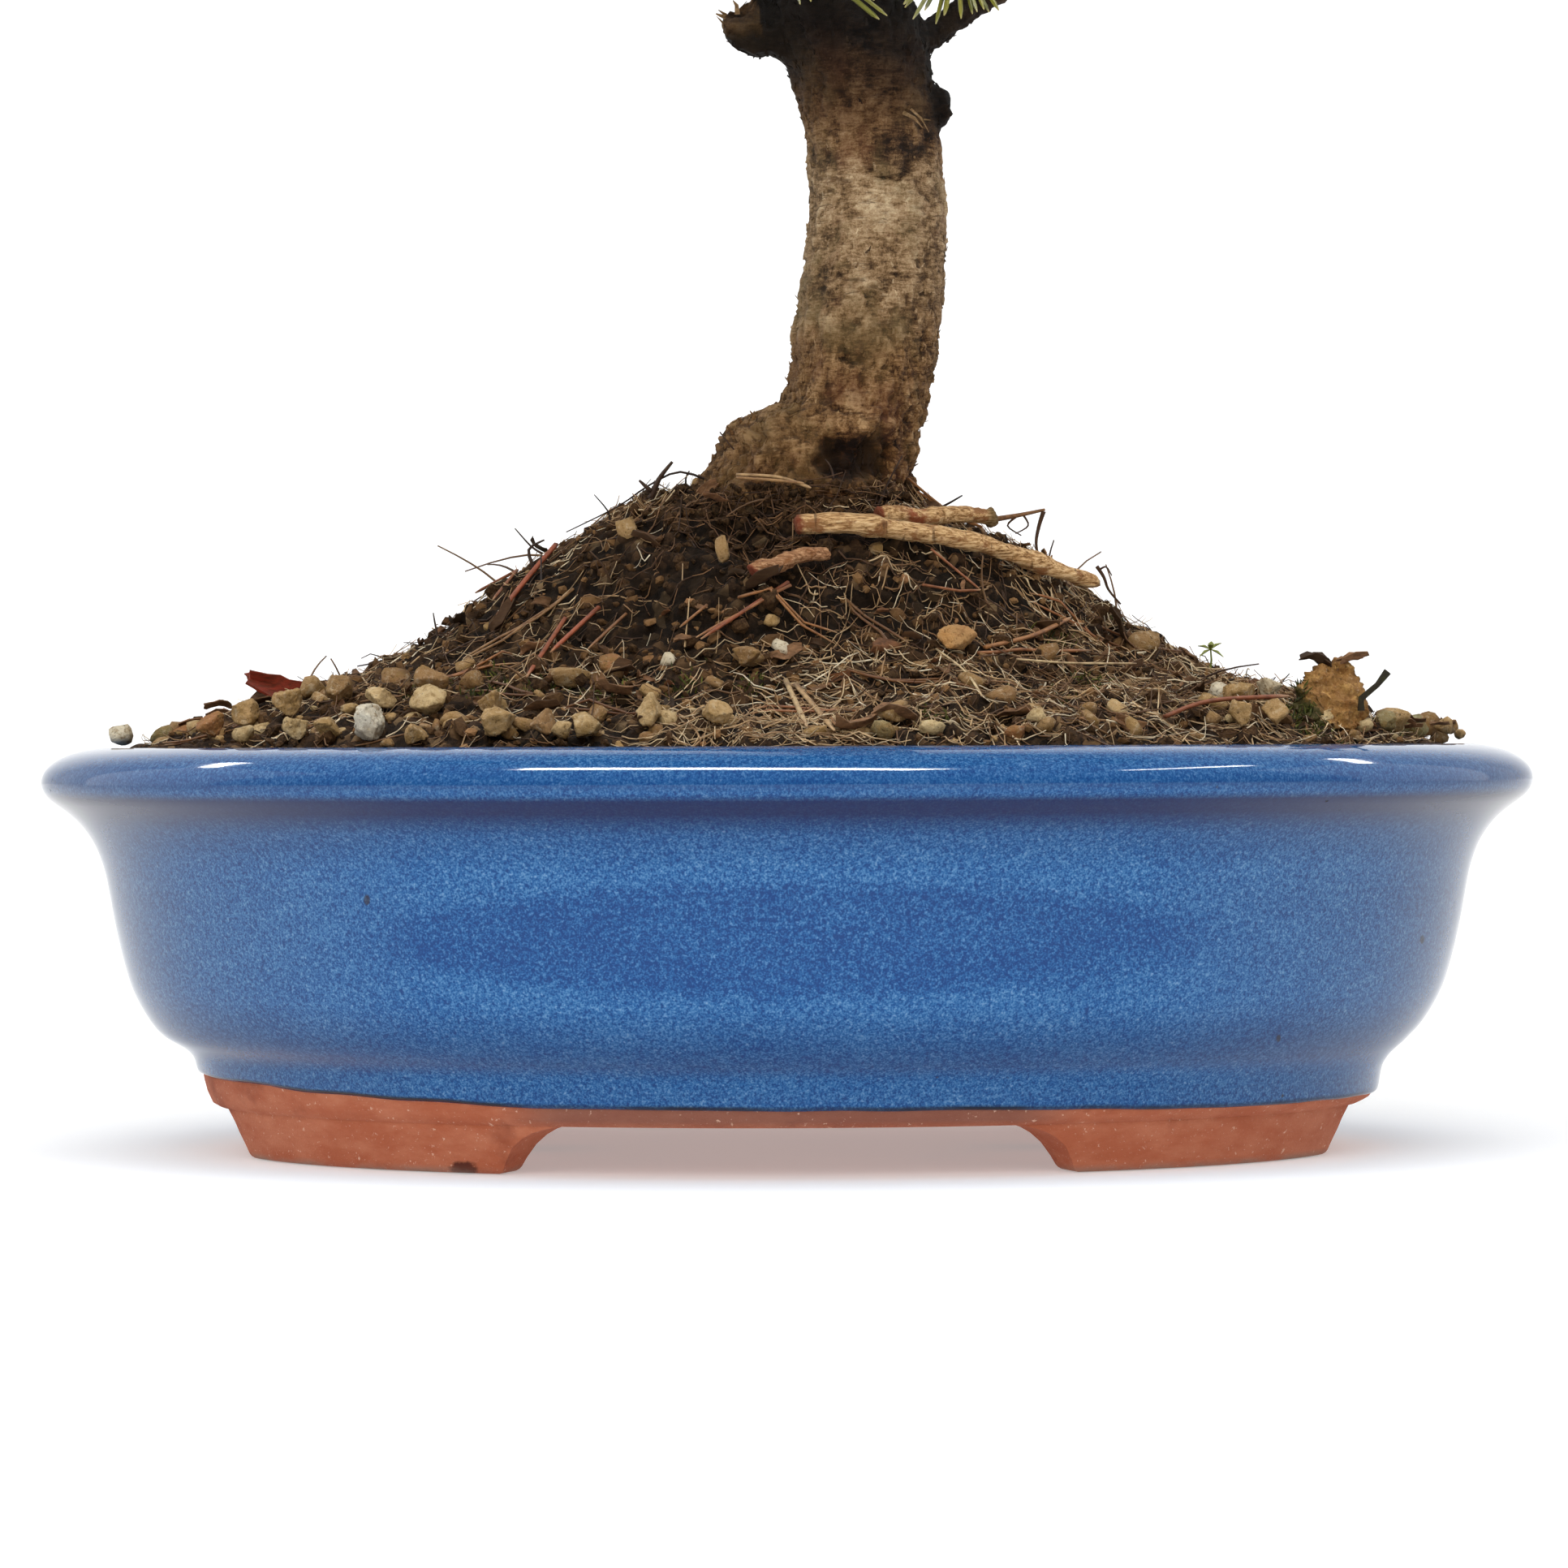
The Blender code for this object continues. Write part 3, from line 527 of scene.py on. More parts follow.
def throwPot():
    letGo()
    plan = potPlan
    less = plan['depthLess']
    ring, low = plan['footRing'], plan['footHeight']
    levels = [*plan['clayEdge'], *plan['glazeFoot'], *curveThrough(plan['outside'], 2),
              *curveThrough(plan['inside'], 2)]
    bpy.ops.mesh.primitive_circle_add(vertices=plan['sides'], radius=1.0, location=(0, 0, low))
    pot = bpy.context.object
    pot.scale = (ring, ring - less, 1)
    bpy.ops.object.transform_apply(location=True, rotation=True, scale=True)
    bpy.ops.object.mode_set(mode='EDIT')
    bpy.ops.mesh.select_all(action='SELECT')
    lastWidth, lastHeight = ring, low
    for width, height in levels:
        extrudeBy(0, 0, height - lastHeight)
        bpy.ops.transform.resize(value=(width / lastWidth, (width - less) / (lastWidth - less), 1),
                                 center_override=(0, 0, height))
        lastWidth, lastHeight = width, height
    closeInwards(lastHeight)
    pickVertices(pot, lambda vertex: vertex.is_boundary)
    closeInwards(low)
    bpy.ops.mesh.select_all(action='SELECT')
    bpy.ops.mesh.normals_make_consistent(inside=False)
    pullFeet(pot)
    letGo()
    drillHoles(pot)
    settleGlaze(pot)
    smoothFaces(pot, 38)
    return pot


def closeInwards(height):
    # the open ring is drawn in towards the middle and closed
    for share in (0.8, 0.7, 0.6):
        extrudeBy(0, 0, 0)
        bpy.ops.transform.resize(value=(share, share, 1), center_override=(0, 0, height))
    bpy.ops.mesh.edge_face_add()


def pullFeet(pot):
    # four runs of the base ring are drawn down to the ground, a little shorter and thinner below
    plan = potPlan
    first, last = plan['footAngles']
    low, less = plan['footHeight'], plan['depthLess']
    inner, outer = plan['footRing'], plan['clayEdge'][0][0]
    for quarter in range(4):
        start, stop = (first, last) if quarter % 2 == 0 else (90 - last, 90 - first)
        start, stop = start + quarter * 90, stop + quarter * 90
        middle = (start + stop) / 2
        bpy.ops.mesh.select_mode(type='FACE')
        bpy.ops.mesh.select_all(action='DESELECT')
        shape = bmesh.from_edit_mesh(pot.data)
        for face in shape.faces:
            centre = face.calc_center_median()
            reach = math.hypot(centre.x / (inner + outer), centre.y / (inner + outer - 2 * less)) * 2
            level = face.normal.z < -0.99 and abs(centre.z - low) < 0.0002
            face.select = level and 0.97 < reach < 1.03 and start < ovalAngle(centre.x, centre.y) < stop
        bmesh.update_edit_mesh(pot.data)
        shape = bmesh.from_edit_mesh(pot.data)
        rim = [vertex for vertex in shape.verts if vertex.select]
        angles = [ovalAngle(*vertex.co.xy) for vertex in rim]
        outers = [math.hypot(vertex.co.x / outer, vertex.co.y / (outer - less)) > 0.98 for vertex in rim]
        archSide = 1 if quarter % 2 == 0 else -1
        lastDown = 0.0
        for down, length, thin, archLength in plan['footSteps']:
            order = [tuple(vertex.co) for vertex in rim]
            extrudeBy(0, 0, (lastDown - down) * low)
            shape = bmesh.from_edit_mesh(pot.data)
            found = {(round(v.co.x, 7), round(v.co.y, 7)): v for v in shape.verts if v.select}
            rim = [found[(round(x, 7), round(y, 7))] for x, y, _ in order]
            for vertex, angle, isOuter in zip(rim, angles, outers):
                width = outer - thin if isOuter else inner + thin
                left = archLength if (angle - middle) * archSide > 0 else length
                turn = math.radians(middle + (angle - middle) * left)
                vertex.co.x = width * math.cos(turn)
                vertex.co.y = (width - less) * math.sin(turn)
            lastDown = down
        shape.normal_update()
        bmesh.update_edit_mesh(pot.data)
        # the foot's edges are rubbed round
        bpy.ops.mesh.select_mode(type='EDGE')
        bpy.ops.mesh.select_all(action='DESELECT')
        shape = bmesh.from_edit_mesh(pot.data)
        for edge in shape.edges:
            heights = [vertex.co.z for vertex in edge.verts]
            onFoot = max(heights) < 0.0001
            sharp = len(edge.link_faces) == 2 and edge.calc_face_angle() > 0.6
            edge.select = onFoot and sharp and start - 3 < ovalAngle(*edge.verts[0].co.xy) < stop + 3
        bmesh.update_edit_mesh(pot.data)
        bpy.ops.mesh.bevel(offset=0.0013, segments=3, profile=0.5, clamp_overlap=True)


def drillHoles(pot):
    plan = potPlan
    letGo()
    drills = []
    x, y, radius = plan['wireHoles']
    holes = list(plan['drainHoles']) + [(sx * x, sy * y, radius) for sx in (-1, 1) for sy in (-1, 1)]
    for x, y, radius in holes:
        bpy.ops.mesh.primitive_cylinder_add(vertices=32, radius=radius, depth=0.03, location=(x, y, 0.017))
        drills.append(bpy.context.object)
    pickUp(*drills)
    bpy.ops.object.join()
    drill = bpy.context.object
    addModifier(pot, 'BOOLEAN', object=drill, operation='DIFFERENCE', solver='EXACT')
    putAway(drill)


def glazeLine(x, y):
    plan = potPlan
    wave = noise.noise(Vector((x * 14, y * 14, 3.0))) + 0.5 * noise.noise(Vector((x * 60, y * 60, 8.0)))
    return plan['glazeSlope'] * x + plan['glazeWave'] * wave + betweenStops(plan['glazeRise'], x)


def settleGlaze(pot):
    # the dipped edge runs unevenly, and the thrown wall isn't quite true
    plan = potPlan
    mesh = pot.data
    width, depth = plan['wallFoot']
    low, (first, last) = plan['clayTop'], (plan['glazeFoot'][0][1], plan['trueAbove'])
    layer = mesh.color_attributes.new('tint', 'FLOAT_COLOR', 'POINT')
    for vertex, paint in zip(mesh.vertices, layer.data):
        x, y, z = vertex.co
        outward = math.hypot(x / width, y / depth)
        glazed = (z > first - 0.00005 and outward > 0.99) or z > last
        paint.color = (1.0 if glazed else 0.0, z, 0.0, 1.0)
        if low < z < last and outward > 0.99:
            hold = min((z - low) / (first - low), (last - z) / (last - first), 1.0)
            vertex.co.z += glazeLine(x, y) * max(0.0, hold)
        if z > 0.015 and outward > 1.0:
            drag = plan['drag'] * noise.noise(Vector((x * 9, y * 9, z * 26)))
            vertex.co.x += vertex.normal.x * drag
            vertex.co.y += vertex.normal.y * drag
    mesh.update()


glazePlan = {
    'deep': (14, 60, 122),
    'middle': (31, 92, 151),
    'light': (68, 124, 175),
    'milk': (116, 152, 190),
    'poolAndShade': (4, 20, 70),
    'thin': (30, 62, 112),
    'endReflectionGrey': (100, 99, 103),
    # painted reflection of the pale room at the narrow ends
    'clay': (174, 96, 66),
    'clayPale': (208, 138, 106),
    'clayDark': (128, 62, 42),
    'clayDust': (222, 186, 162),
    # painted shade line along the glaze's lower edge
    'edge': (20, 22, 34),
    'iron': (44, 36, 36),
    'speckle': 2000.0,           # mottling, in spots to the metre
    'clouding': 38.0,
    'darkReflectionHeight': 0.0575,        # where the wall is deepest in colour
    # middle height of the painted dark reflection on the wall
    'darkReflectionReach': (0.105, 0.0135),
    'spots': ((-0.1, 0.0668, 0.0008), (0.1187, 0.0318, 0.0006), (0.157, 0.0545, 0.0007)),
    'knock': (-0.0786, 0.0012, 0.0042, 0.0022),      # x, height, half width, half height
}


def glazeMaterial():
    plan = glazePlan
    material, tree, shader = newMaterial('glazedClay', 0.08, 0.27)
    place = placeOf(tree)
    parts = partsOf(tree)
    tint = tintOf(tree)
    fine = noiseAt(tree, place, plan['speckle'], 2.0, 0.6)
    coarse = noiseAt(tree, place, plan['speckle'] * 0.45, 2.0, 0.6)
    speckle = mathOf(tree, 'MULTIPLY_ADD', coarse, 0.4, product(tree, fine, 0.6))
    # painted reflection: an oval on each long side where the glaze is darkened and takes fewer light spots,
    # standing in for a dark reflection
    darkReflection = ovalAt(tree, parts, 0.0, plan['darkReflectionHeight'], *plan['darkReflectionReach'])
    darkReflection = rampOf(tree, product(tree, darkReflection, 0.5), (0.36, 1.0), (0.56, 0.0))
    speckle = mathOf(tree, 'MULTIPLY_ADD', darkReflection, -0.055, speckle)
    clouding = noiseAt(tree, placeOf(tree, (1, 1, 2.4)), plan['clouding'], 4.0, 0.55)
    speckle = swayed(tree, speckle, clouding, 0.09)
    blue = rampOf(tree, speckle, (0.39, plan['deep']), (0.49, plan['middle']), (0.585, plan['light']),
                  (0.7, plan['milk']))
    # the glaze pools in the neck under the lip and in the groove over the foot, and both are darkened further
    # as painted shade
    height = product(tree, parts['Z'], 9.0)
    poolAndShade = rampOf(tree, height, (0.215, 0.11), (0.245, 0.4), (0.285, 0.38), (0.37, 0.0), (0.66, 0.0),
                  (0.74, 0.34), (0.785, 0.92), (0.812, 0.94), (0.83, 0.0))
    blue = mixColours(tree, poolAndShade, blue, plan['poolAndShade'])
    blue = veil(tree, blue, plan['thin'], height, (0.82, 0.0), (0.845, 0.62), (0.9, 0.25))
    # towards the narrow ends the glaze is painted greyer: a painted reflection of the pale room
    endReflection = rampOf(tree, mathOf(tree, 'ABSOLUTE', parts['X']), (0.085, 0.0), (0.145, 0.22), (0.185, 0.64))
    endReflection = product(tree, endReflection, rampOf(tree, height, (0.82, 1.0), (0.85, 0.35)))
    blue = mixColours(tree, endReflection, blue, plan['endReflectionGrey'])
    # three dark spots where iron came through at the front
    front = mathOf(tree, 'LESS_THAN', parts['Y'], 0.0)
    for x, z, size in plan['spots']:
        away = ovalAt(tree, parts, x, z, size, size * 1.6)
        dot = rampOf(tree, product(tree, away, 0.5), (0.3, 0.75), (0.6, 0.0))
        blue = mixColours(tree, product(tree, dot, front), blue, plan['iron'])
    # fine pits and dark specks of iron
    pits = cellsAt(tree, place, 95.0)
    pit = rampOf(tree, pits['Distance'], (0.03, 1.0), (0.05, 0.0))
    chance = rampOf(tree, noiseAt(tree, place, 23.0, 1.0), (0.58, 0.0), (0.66, 1.0))
    pit = product(tree, pit, chance)
    blue = mixColours(tree, pit, blue, plan['iron'])

    grit = noiseAt(tree, place, 1500.0, 2.0, 0.7)
    smear = noiseAt(tree, placeOf(tree, (1, 1, 2.5)), 60.0, 5.0, 0.65)
    clay = mixColours(tree, rampOf(tree, smear, (0.4, 0.0), (0.7, 0.55)), plan['clay'], plan['clayPale'])
    clay = veil(tree, clay, plan['clayDust'], grit, (0.66, 0.0), (0.76, 0.8))
    stain = noiseAt(tree, place, 34.0, 6.0, 0.6)
    clay = veil(tree, clay, plan['clayDark'], stain, (0.6, 0.0), (0.72, 0.75))
    # the band over the arches is darkened as painted shade, and the feet are scuffed where they stand
    low = product(tree, parts['Z'], 50.0)
    arch = rampOf(tree, mathOf(tree, 'ABSOLUTE', parts['X']), (0.056, 1.0), (0.07, 0.0))
    archShade = product(tree, rampOf(tree, low, (0.58, 0.0), (0.68, 0.62)), arch)
    clay = mixColours(tree, archShade, clay, (112, 80, 72))
    flecks = noiseAt(tree, place, 620.0, 3.0, 0.6)
    clay = veil(tree, clay, plan['clayDust'], flecks, (0.66, 0.0), (0.7, 0.75))
    # a knock at the lower corner of the left foot
    away = mathOf(tree, 'ADD', ovalAt(tree, parts, *plan['knock']), product(tree, flecks, 1.2))
    knock = rampOf(tree, product(tree, away, 0.4), (0.4, 1.0), (0.6, 0.0))
    knock = product(tree, knock, front)
    clay = mixColours(tree, knock, clay, (92, 46, 34))
    scuff = product(tree, rampOf(tree, low, (0.0, 1.0), (0.1, 0.0)),
                    rampOf(tree, smear, (0.4, 0.2), (0.6, 1.0)))
    clay = mixColours(tree, scuff, clay, (148, 120, 106))

    glazed = rampOf(tree, tint['Red'], (0.35, 0.0), (0.6, 1.0))
    colour = mixColours(tree, glazed, clay, blue)
    # the glaze's very edge gets a painted shade line, as under its bead; green holds each ring's thrown
    # height
    edge = product(tree, tint['Green'], 50.0)
    edgeShade = rampOf(tree, edge, (0.8, 0.0), (0.806, 1.0), (0.836, 0.95), (0.872, 0.0))
    edgeShade = product(tree, edgeShade, rampOf(tree, clouding, (0.35, 0.55), (0.6, 1.0)))
    colour = mixColours(tree, edgeShade, colour, plan['edge'])
    tree.links.new(colour, shader.inputs['Base Color'])
    gloss = mixColours(tree, glazed, 0.85, mixColours(tree, pit, 0.07, 0.6))
    tree.links.new(gloss, shader.inputs['Roughness'])
    rough = product(tree, mathOf(tree, 'SUBTRACT', 1.0, glazed), grit)
    bumpFrom(tree, shader, (rough, 0.6, 0.0006), (product(tree, pit, -1.0), 0.5, 0.0004))
    return material


# Soil: a heap of peat over the pot's filling

soilPlan = {
    'halfWidth': 0.1684, 'halfDepth': 0.1284,
    'columns': 300, 'rows': 230,
    'moundWidth': 0.168, 'moundDepth': 0.124,
    'mound': ((0.0, 0.07), (0.18, 0.066), (0.3, 0.056), (0.42, 0.045), (0.54, 0.0275), (0.66, 0.0185),
              (0.8, 0.012), (0.92, 0.005), (1.0, -0.0015), (1.2, -0.004)),
    'softening': 0.03,
    'lumps': (38.0, 0.0022),
    'hollows': (
        # x, y, half width, half depth, how deep
        (-0.0095, -0.0375, 0.013, 0.0095, 0.0085),
        (0.018, -0.04, 0.02, 0.0055, 0.002),
    ),
    'clods': (
        # pattern, grain, depth, its middle, octaves
        ('CLOUDS', 0.0105, 0.004, 0.7, 2), ('VORONOI', 0.0056, -0.0038, 0.2, 2),
        ('VORONOI', 0.0028, -0.0024, 0.35, 2), ('CLOUDS', 0.0014, 0.0012, 0.5, 1),
    ),
    'wall': ((0.1676, 0.096), (0.165, 0.07), (0.1594, 0.0435), (0.1484, 0.027), (0.1316, 0.0214)),
}


def moundShare(x, y):
    return math.hypot(x / soilPlan['moundWidth'], y / soilPlan['moundDepth'])


def moundHeight(x, y):
    plan = soilPlan
    share = moundShare(x, y)
    soft = plan['softening']
    height = sum(betweenStops(plan['mound'], max(0.0, share + step)) for step in (-soft, 0, soft)) / 3
    scale, lump = plan['lumps']
    height += lump * noise.noise(Vector((x * scale, y * scale, 0.0)))
    for hx, hy, width, depth, deep in plan['hollows']:
        away = ((x - hx) / width) ** 2 + ((y - hy) / depth) ** 2
        height -= deep * math.exp(-away * 1.2)
    return rimHeight + height


def heapSoil():
    plan = soilPlan
    letGo()
    bpy.ops.mesh.primitive_grid_add(x_subdivisions=plan['columns'], y_subdivisions=plan['rows'], size=2)
    soil = bpy.context.object
    soil.scale = (plan['halfWidth'], plan['halfDepth'], 1)
    bpy.ops.object.transform_apply(location=True, rotation=True, scale=True)
    bpy.ops.object.mode_set(mode='EDIT')
    pickVertices(soil, lambda vertex: math.hypot(vertex.co.x / plan['halfWidth'],
                                                 vertex.co.y / plan['halfDepth']) > 1.004)
    bpy.ops.mesh.delete(type='VERT')
    shape = bmesh.from_edit_mesh(soil.data)
    for vertex in shape.verts:
        if vertex.is_boundary:
            reach = math.hypot(vertex.co.x / plan['halfWidth'], vertex.co.y / plan['halfDepth'])
            vertex.co.x /= reach
            vertex.co.y /= reach
        vertex.co.z = moundHeight(vertex.co.x, vertex.co.y)
    bmesh.update_edit_mesh(soil.data)
    pickVertices(soil, lambda vertex: vertex.is_boundary)
    lastWidth, lastHeight = plan['halfWidth'], None
    less = potPlan['depthLess']
    for width, height in plan['wall']:
        extrudeBy(0, 0, -0.001)
        bpy.ops.transform.resize(value=(width / lastWidth, (width - less) / (lastWidth - less), 1),
                                 center_override=(0, 0, height))
        shape = bmesh.from_edit_mesh(soil.data)
        for vertex in shape.verts:
            if vertex.select:
                vertex.co.z = height
        bmesh.update_edit_mesh(soil.data)
        lastWidth, lastHeight = width, height
    closeInwards(lastHeight)
    bpy.ops.mesh.select_all(action='SELECT')
    bpy.ops.mesh.normals_make_consistent(inside=False)
    letGo()
    loose = soil.vertex_groups.new(name='loose')
    for vertex in soil.data.vertices:
        edge = 1 - math.hypot(vertex.co.x / plan['halfWidth'], vertex.co.y / plan['halfDepth'])
        weight = min(1.0, edge / 0.03) if vertex.co.z > 0.0985 else 0.0
        loose.add([vertex.index], max(0.0, weight), 'REPLACE')
    for kind, grain, depth, middle, octaves in plan['clods']:
        roughen(soil, kind, grain, depth, middle, 'loose', octaves)
    # red tells the shader how far a spot stands out of the heap, so that the sunk spots get painted shade
    layer = soil.data.color_attributes.new('tint', 'FLOAT_COLOR', 'POINT')
    for vertex, paint in zip(soil.data.vertices, layer.data):
        proud = (vertex.co.z - moundHeight(vertex.co.x, vertex.co.y)) / 0.005 + 0.75
        paint.color = (held(proud), 0.0, 0.0, 1.0)
    smoothFaces(soil)
    return soil


def inHollow(x, y, reach=1.4):
    hx, hy, width, depth, _ = soilPlan['hollows'][0]
    return ((x - hx) / width) ** 2 + ((y - hy) / depth) ** 2 < reach


class Ground:
    # where the surface of the pieces is under a point seen from above
    def __init__(self, *pieces):
        points, faces = [], []
        for piece in pieces:
            first = len(points)
            points.extend(vertex.co.copy() for vertex in piece.data.vertices)
            faces.extend(tuple(first + corner for corner in face.vertices) for face in piece.data.polygons)
        self.tree = BVHTree.FromPolygons(points, faces)

    def at(self, x, y):
        spot, normal, _, _ = self.tree.ray_cast(Vector((x, y, 0.25)), Vector((0, 0, -1)))
        if spot is None or spot.z < 0.095:
            return Vector((x, y, moundHeight(x, y))), Vector((0, 0, 1))
        return spot, normal


def soilMaterial():
    material, tree, shader = newMaterial('peatSoil', 0.95, 0.12)
    place = placeOf(tree)
    broad = noiseAt(tree, place, 28.0, 5.0, 0.6)
    crumbs = cellsAt(tree, place, 330.0)
    split = tree.nodes.new('ShaderNodeSeparateColor')
    tree.links.new(crumbs['Color'], split.inputs[0])
    tone = rampOf(tree, split.outputs['Red'], (0.0, (20, 13, 8)), (0.45, (50, 34, 22)),
                  (0.75, (84, 61, 40)), (0.93, (120, 92, 62)), (1.0, (166, 136, 98)))
    tone = veil(tree, tone, (30, 20, 12), broad, (0.36, 0.6), (0.58, 0.05))
    fine = noiseAt(tree, place, 900.0, 3.0, 0.7)
    tone = veil(tree, tone, (112, 84, 56), fine, (0.45, 0.0), (0.8, 0.4))
    tint = tintOf(tree)
    # painted shade: the spots sunk below the heap are darkened
    tone = veil(tree, tone, (14, 10, 6), tint['Red'], (0.1, 0.8), (0.62, 0.0))
    tree.links.new(tone, shader.inputs['Base Color'])
    bumpFrom(tree, shader, (fine, 0.8, 0.0008))
    return material


# Stones: chipped lumps, cut from a ball by flat strokes and then weathered

stonePlan = {
    'moulds': 9,
    'strokes': 8,
    'strokeDepth': (0.42, 0.76),
    'voxel': 0.062,
    'faces': 1300,
    'weather': ((0.6, 0.1), (0.26, 0.13), (0.11, 0.08)),
    'tints': (
        # from cream at 0 through tan and brown to greenish grey at 1, left to right along the front
        0.86, 0.4, 0.36, 0.24, 0.32, 0.0, 0.26, 0.24, 0.44, 0.5, 0.34, 0.62, 0.28, 0.62, 0.58, 0.3,
        0.34, 0.62, 0.5, 0.4, 0.08, 0.4, 0.42, 0.97, 0.2, 0.45, 0.1, 0.55, 0.3, 0.15, 0.5, 0.25, 0.4,
    ),
    'rockStretch': (1.36, 1.05, 1.04),
    'rockShift': (-0.0012, 0, -0.0014),
    'rockCuts': (('CLOUDS', 0.75, 0.5), ('VORONOI', 0.34, -0.26, 0.3), ('CLOUDS', 0.15, 0.12)),
}


def chipStone(seed, voxel, faces=None):
    draw = random.Random(seed)
    letGo()
    bpy.ops.mesh.primitive_ico_sphere_add(subdivisions=4, radius=1.0)
    stone = bpy.context.object
    bpy.ops.object.mode_set(mode='EDIT')
    for _ in range(stonePlan['strokes']):
        way = Vector((draw.gauss(0, 1), draw.gauss(0, 1), draw.gauss(0, 1))).normalized()
        bpy.ops.mesh.select_all(action='SELECT')
        bpy.ops.mesh.bisect(plane_co=way * draw.uniform(*stonePlan['strokeDepth']), plane_no=way,
                            use_fill=True, clear_outer=True)
    letGo()
    addModifier(stone, 'REMESH', mode='VOXEL', voxel_size=voxel)
    addModifier(stone, 'SMOOTH', factor=0.5, iterations=1)
    for grain, depth in stonePlan['weather']:
        roughen(stone, 'CLOUDS', grain, depth)
    if faces:
        addModifier(stone, 'DECIMATE', ratio=faces / (2 * len(stone.data.polygons)))
    # brought to half size one each way
    for axis in range(3):
        values = [vertex.co[axis] for vertex in stone.data.vertices]
        middle, half = (max(values) + min(values)) / 2, (max(values) - min(values)) / 2
        for vertex in stone.data.vertices:
            vertex.co[axis] = (vertex.co[axis] - middle) / half
    stone.data.update()
    return stone


fullTurn = 6.283             # radians


def turned(draw, flat=0.0):
    turn = Matrix.Rotation(draw.uniform(0, fullTurn), 3, 'Z')
    if flat:
        for axis in 'XY':
            turn = turn @ Matrix.Rotation(draw.gauss(0, flat), 3, axis)
    return turn


def fitToBox(node, draw, grow=1.04):
    # axes that fill the node's box with a mould of half size one, laid any way round
    low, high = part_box(node)
    half = (high - low) / 2 * grow
    order = [0, 1, 2]
    draw.shuffle(order)
    axes = Matrix(((0, 0, 0), (0, 0, 0), (0, 0, 0)))
    for row, column in enumerate(order):
        axes[row][column] = half[row] * draw.choice((-1, 1))
    if axes.determinant() < 0:
        axes[0][order[0]] *= -1
    return (low + high) / 2, axes


def layGravel(moulds):
    draw = random.Random(11)
    names = sorted(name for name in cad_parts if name.startswith('gravel_'))
    places = []
    for number, name in enumerate(names):
        middle, axes = fitToBox(name, draw)
        places.append((number % len(moulds), middle, axes, stonePlan['tints'][number], 0.0))
    gravel = copiesPiece('rimGravel', moulds, places)
    smoothFaces(gravel)
    return placePiece(gravel, 'rimGravel', stoneMaterial('paleGravel', 'pale'), 'pale_stone', *names)


def layRock(mould, node, name, kind):
    draw = random.Random(node)
    middle, axes = fitToBox(node, draw, 1.05)
    if kind == 'rock':
        axes = Matrix.Diagonal(stonePlan['rockStretch']) @ axes
        middle = middle + Vector(stonePlan['rockShift'])
        for cut in stonePlan['rockCuts']:
            roughen(mould, *cut)
    rock = copiesPiece(name, [mould], [(0, middle, axes, 0.5, 0.0)])
    smoothFaces(rock)
    return placePiece(rock, name, stoneMaterial(name, kind), 'rock', node)


def stoneMaterial(name, kind):
    material, tree, shader = newMaterial(name, 0.9, 0.2)
    place = placeOf(tree)
    tint = tintOf(tree)
    parts = partsOf(tree)
    pore = noiseAt(tree, place, 900.0, 4.0, 0.65)
    blotch = noiseAt(tree, place, 150.0, 4.0, 0.65)
    if kind == 'pale':
        body = rampOf(tree, tint['Red'], (0.0, (220, 212, 192)), (0.16, (200, 178, 134)),
                      (0.36, (180, 146, 98)), (0.54, (152, 120, 80)), (0.72, (136, 100, 64)),
                      (0.88, (156, 106, 66)), (1.0, (136, 132, 92)))
        stain = (136, 106, 60)
        dirt = (70, 50, 32)
    elif kind == 'rock':
        body = rampOf(tree, blotch, (0.35, (122, 84, 44)), (0.5, (162, 120, 68)), (0.68, (192, 154, 100)))
        stain = (110, 66, 28)
        dirt = (48, 44, 22)
    else:
        body = rampOf(tree, blotch, (0.35, (176, 126, 72)), (0.65, (206, 170, 118)))
        stain = (150, 98, 54)
        dirt = (90, 60, 34)
    body = veil(tree, body, stain, blotch, (0.45, 0.0), (0.66, 0.7))
    mottle = noiseAt(tree, place, 480.0, 5.0, 0.7)
    body = veil(tree, body, stain, mottle, (0.38, 0.65), (0.47, 0.0))
    if kind == 'pale':
        body = veil(tree, body, (222, 208, 178), mottle, (0.54, 0.0), (0.66, 0.3))
    if kind == 'rock':
        # moss creeps up its left foot, and the hollows keep an orange crust
        body = veil(tree, body, (206, 162, 96), mottle, (0.54, 0.0), (0.62, 0.6))
        lean = mathOf(tree, 'SUBTRACT', 0.129, parts['X'])
        lean = mathOf(tree, 'ADD', lean, mathOf(tree, 'SUBTRACT', 0.115, parts['Z']))
        lean = mathOf(tree, 'MULTIPLY_ADD', lean, 90.0, product(tree, blotch, 1.2))
        body = veil(tree, body, (44, 50, 22), lean, (0.62, 0.0), (0.8, 0.9))
    body = veil(tree, body, dirt, pore, (0.3, 0.85), (0.41, 0.0))
    body = veil(tree, body, (220, 204, 170), pore, (0.6, 0.0), (0.8, 0.45))
    tree.links.new(body, shader.inputs['Base Color'])
    bumpFrom(tree, shader, (pore, 0.8, 0.0008), (noiseAt(tree, place, 2400.0, 2.0), 0.5, 0.0003))
    return material


# Loose grit and crumbs of peat over the heap

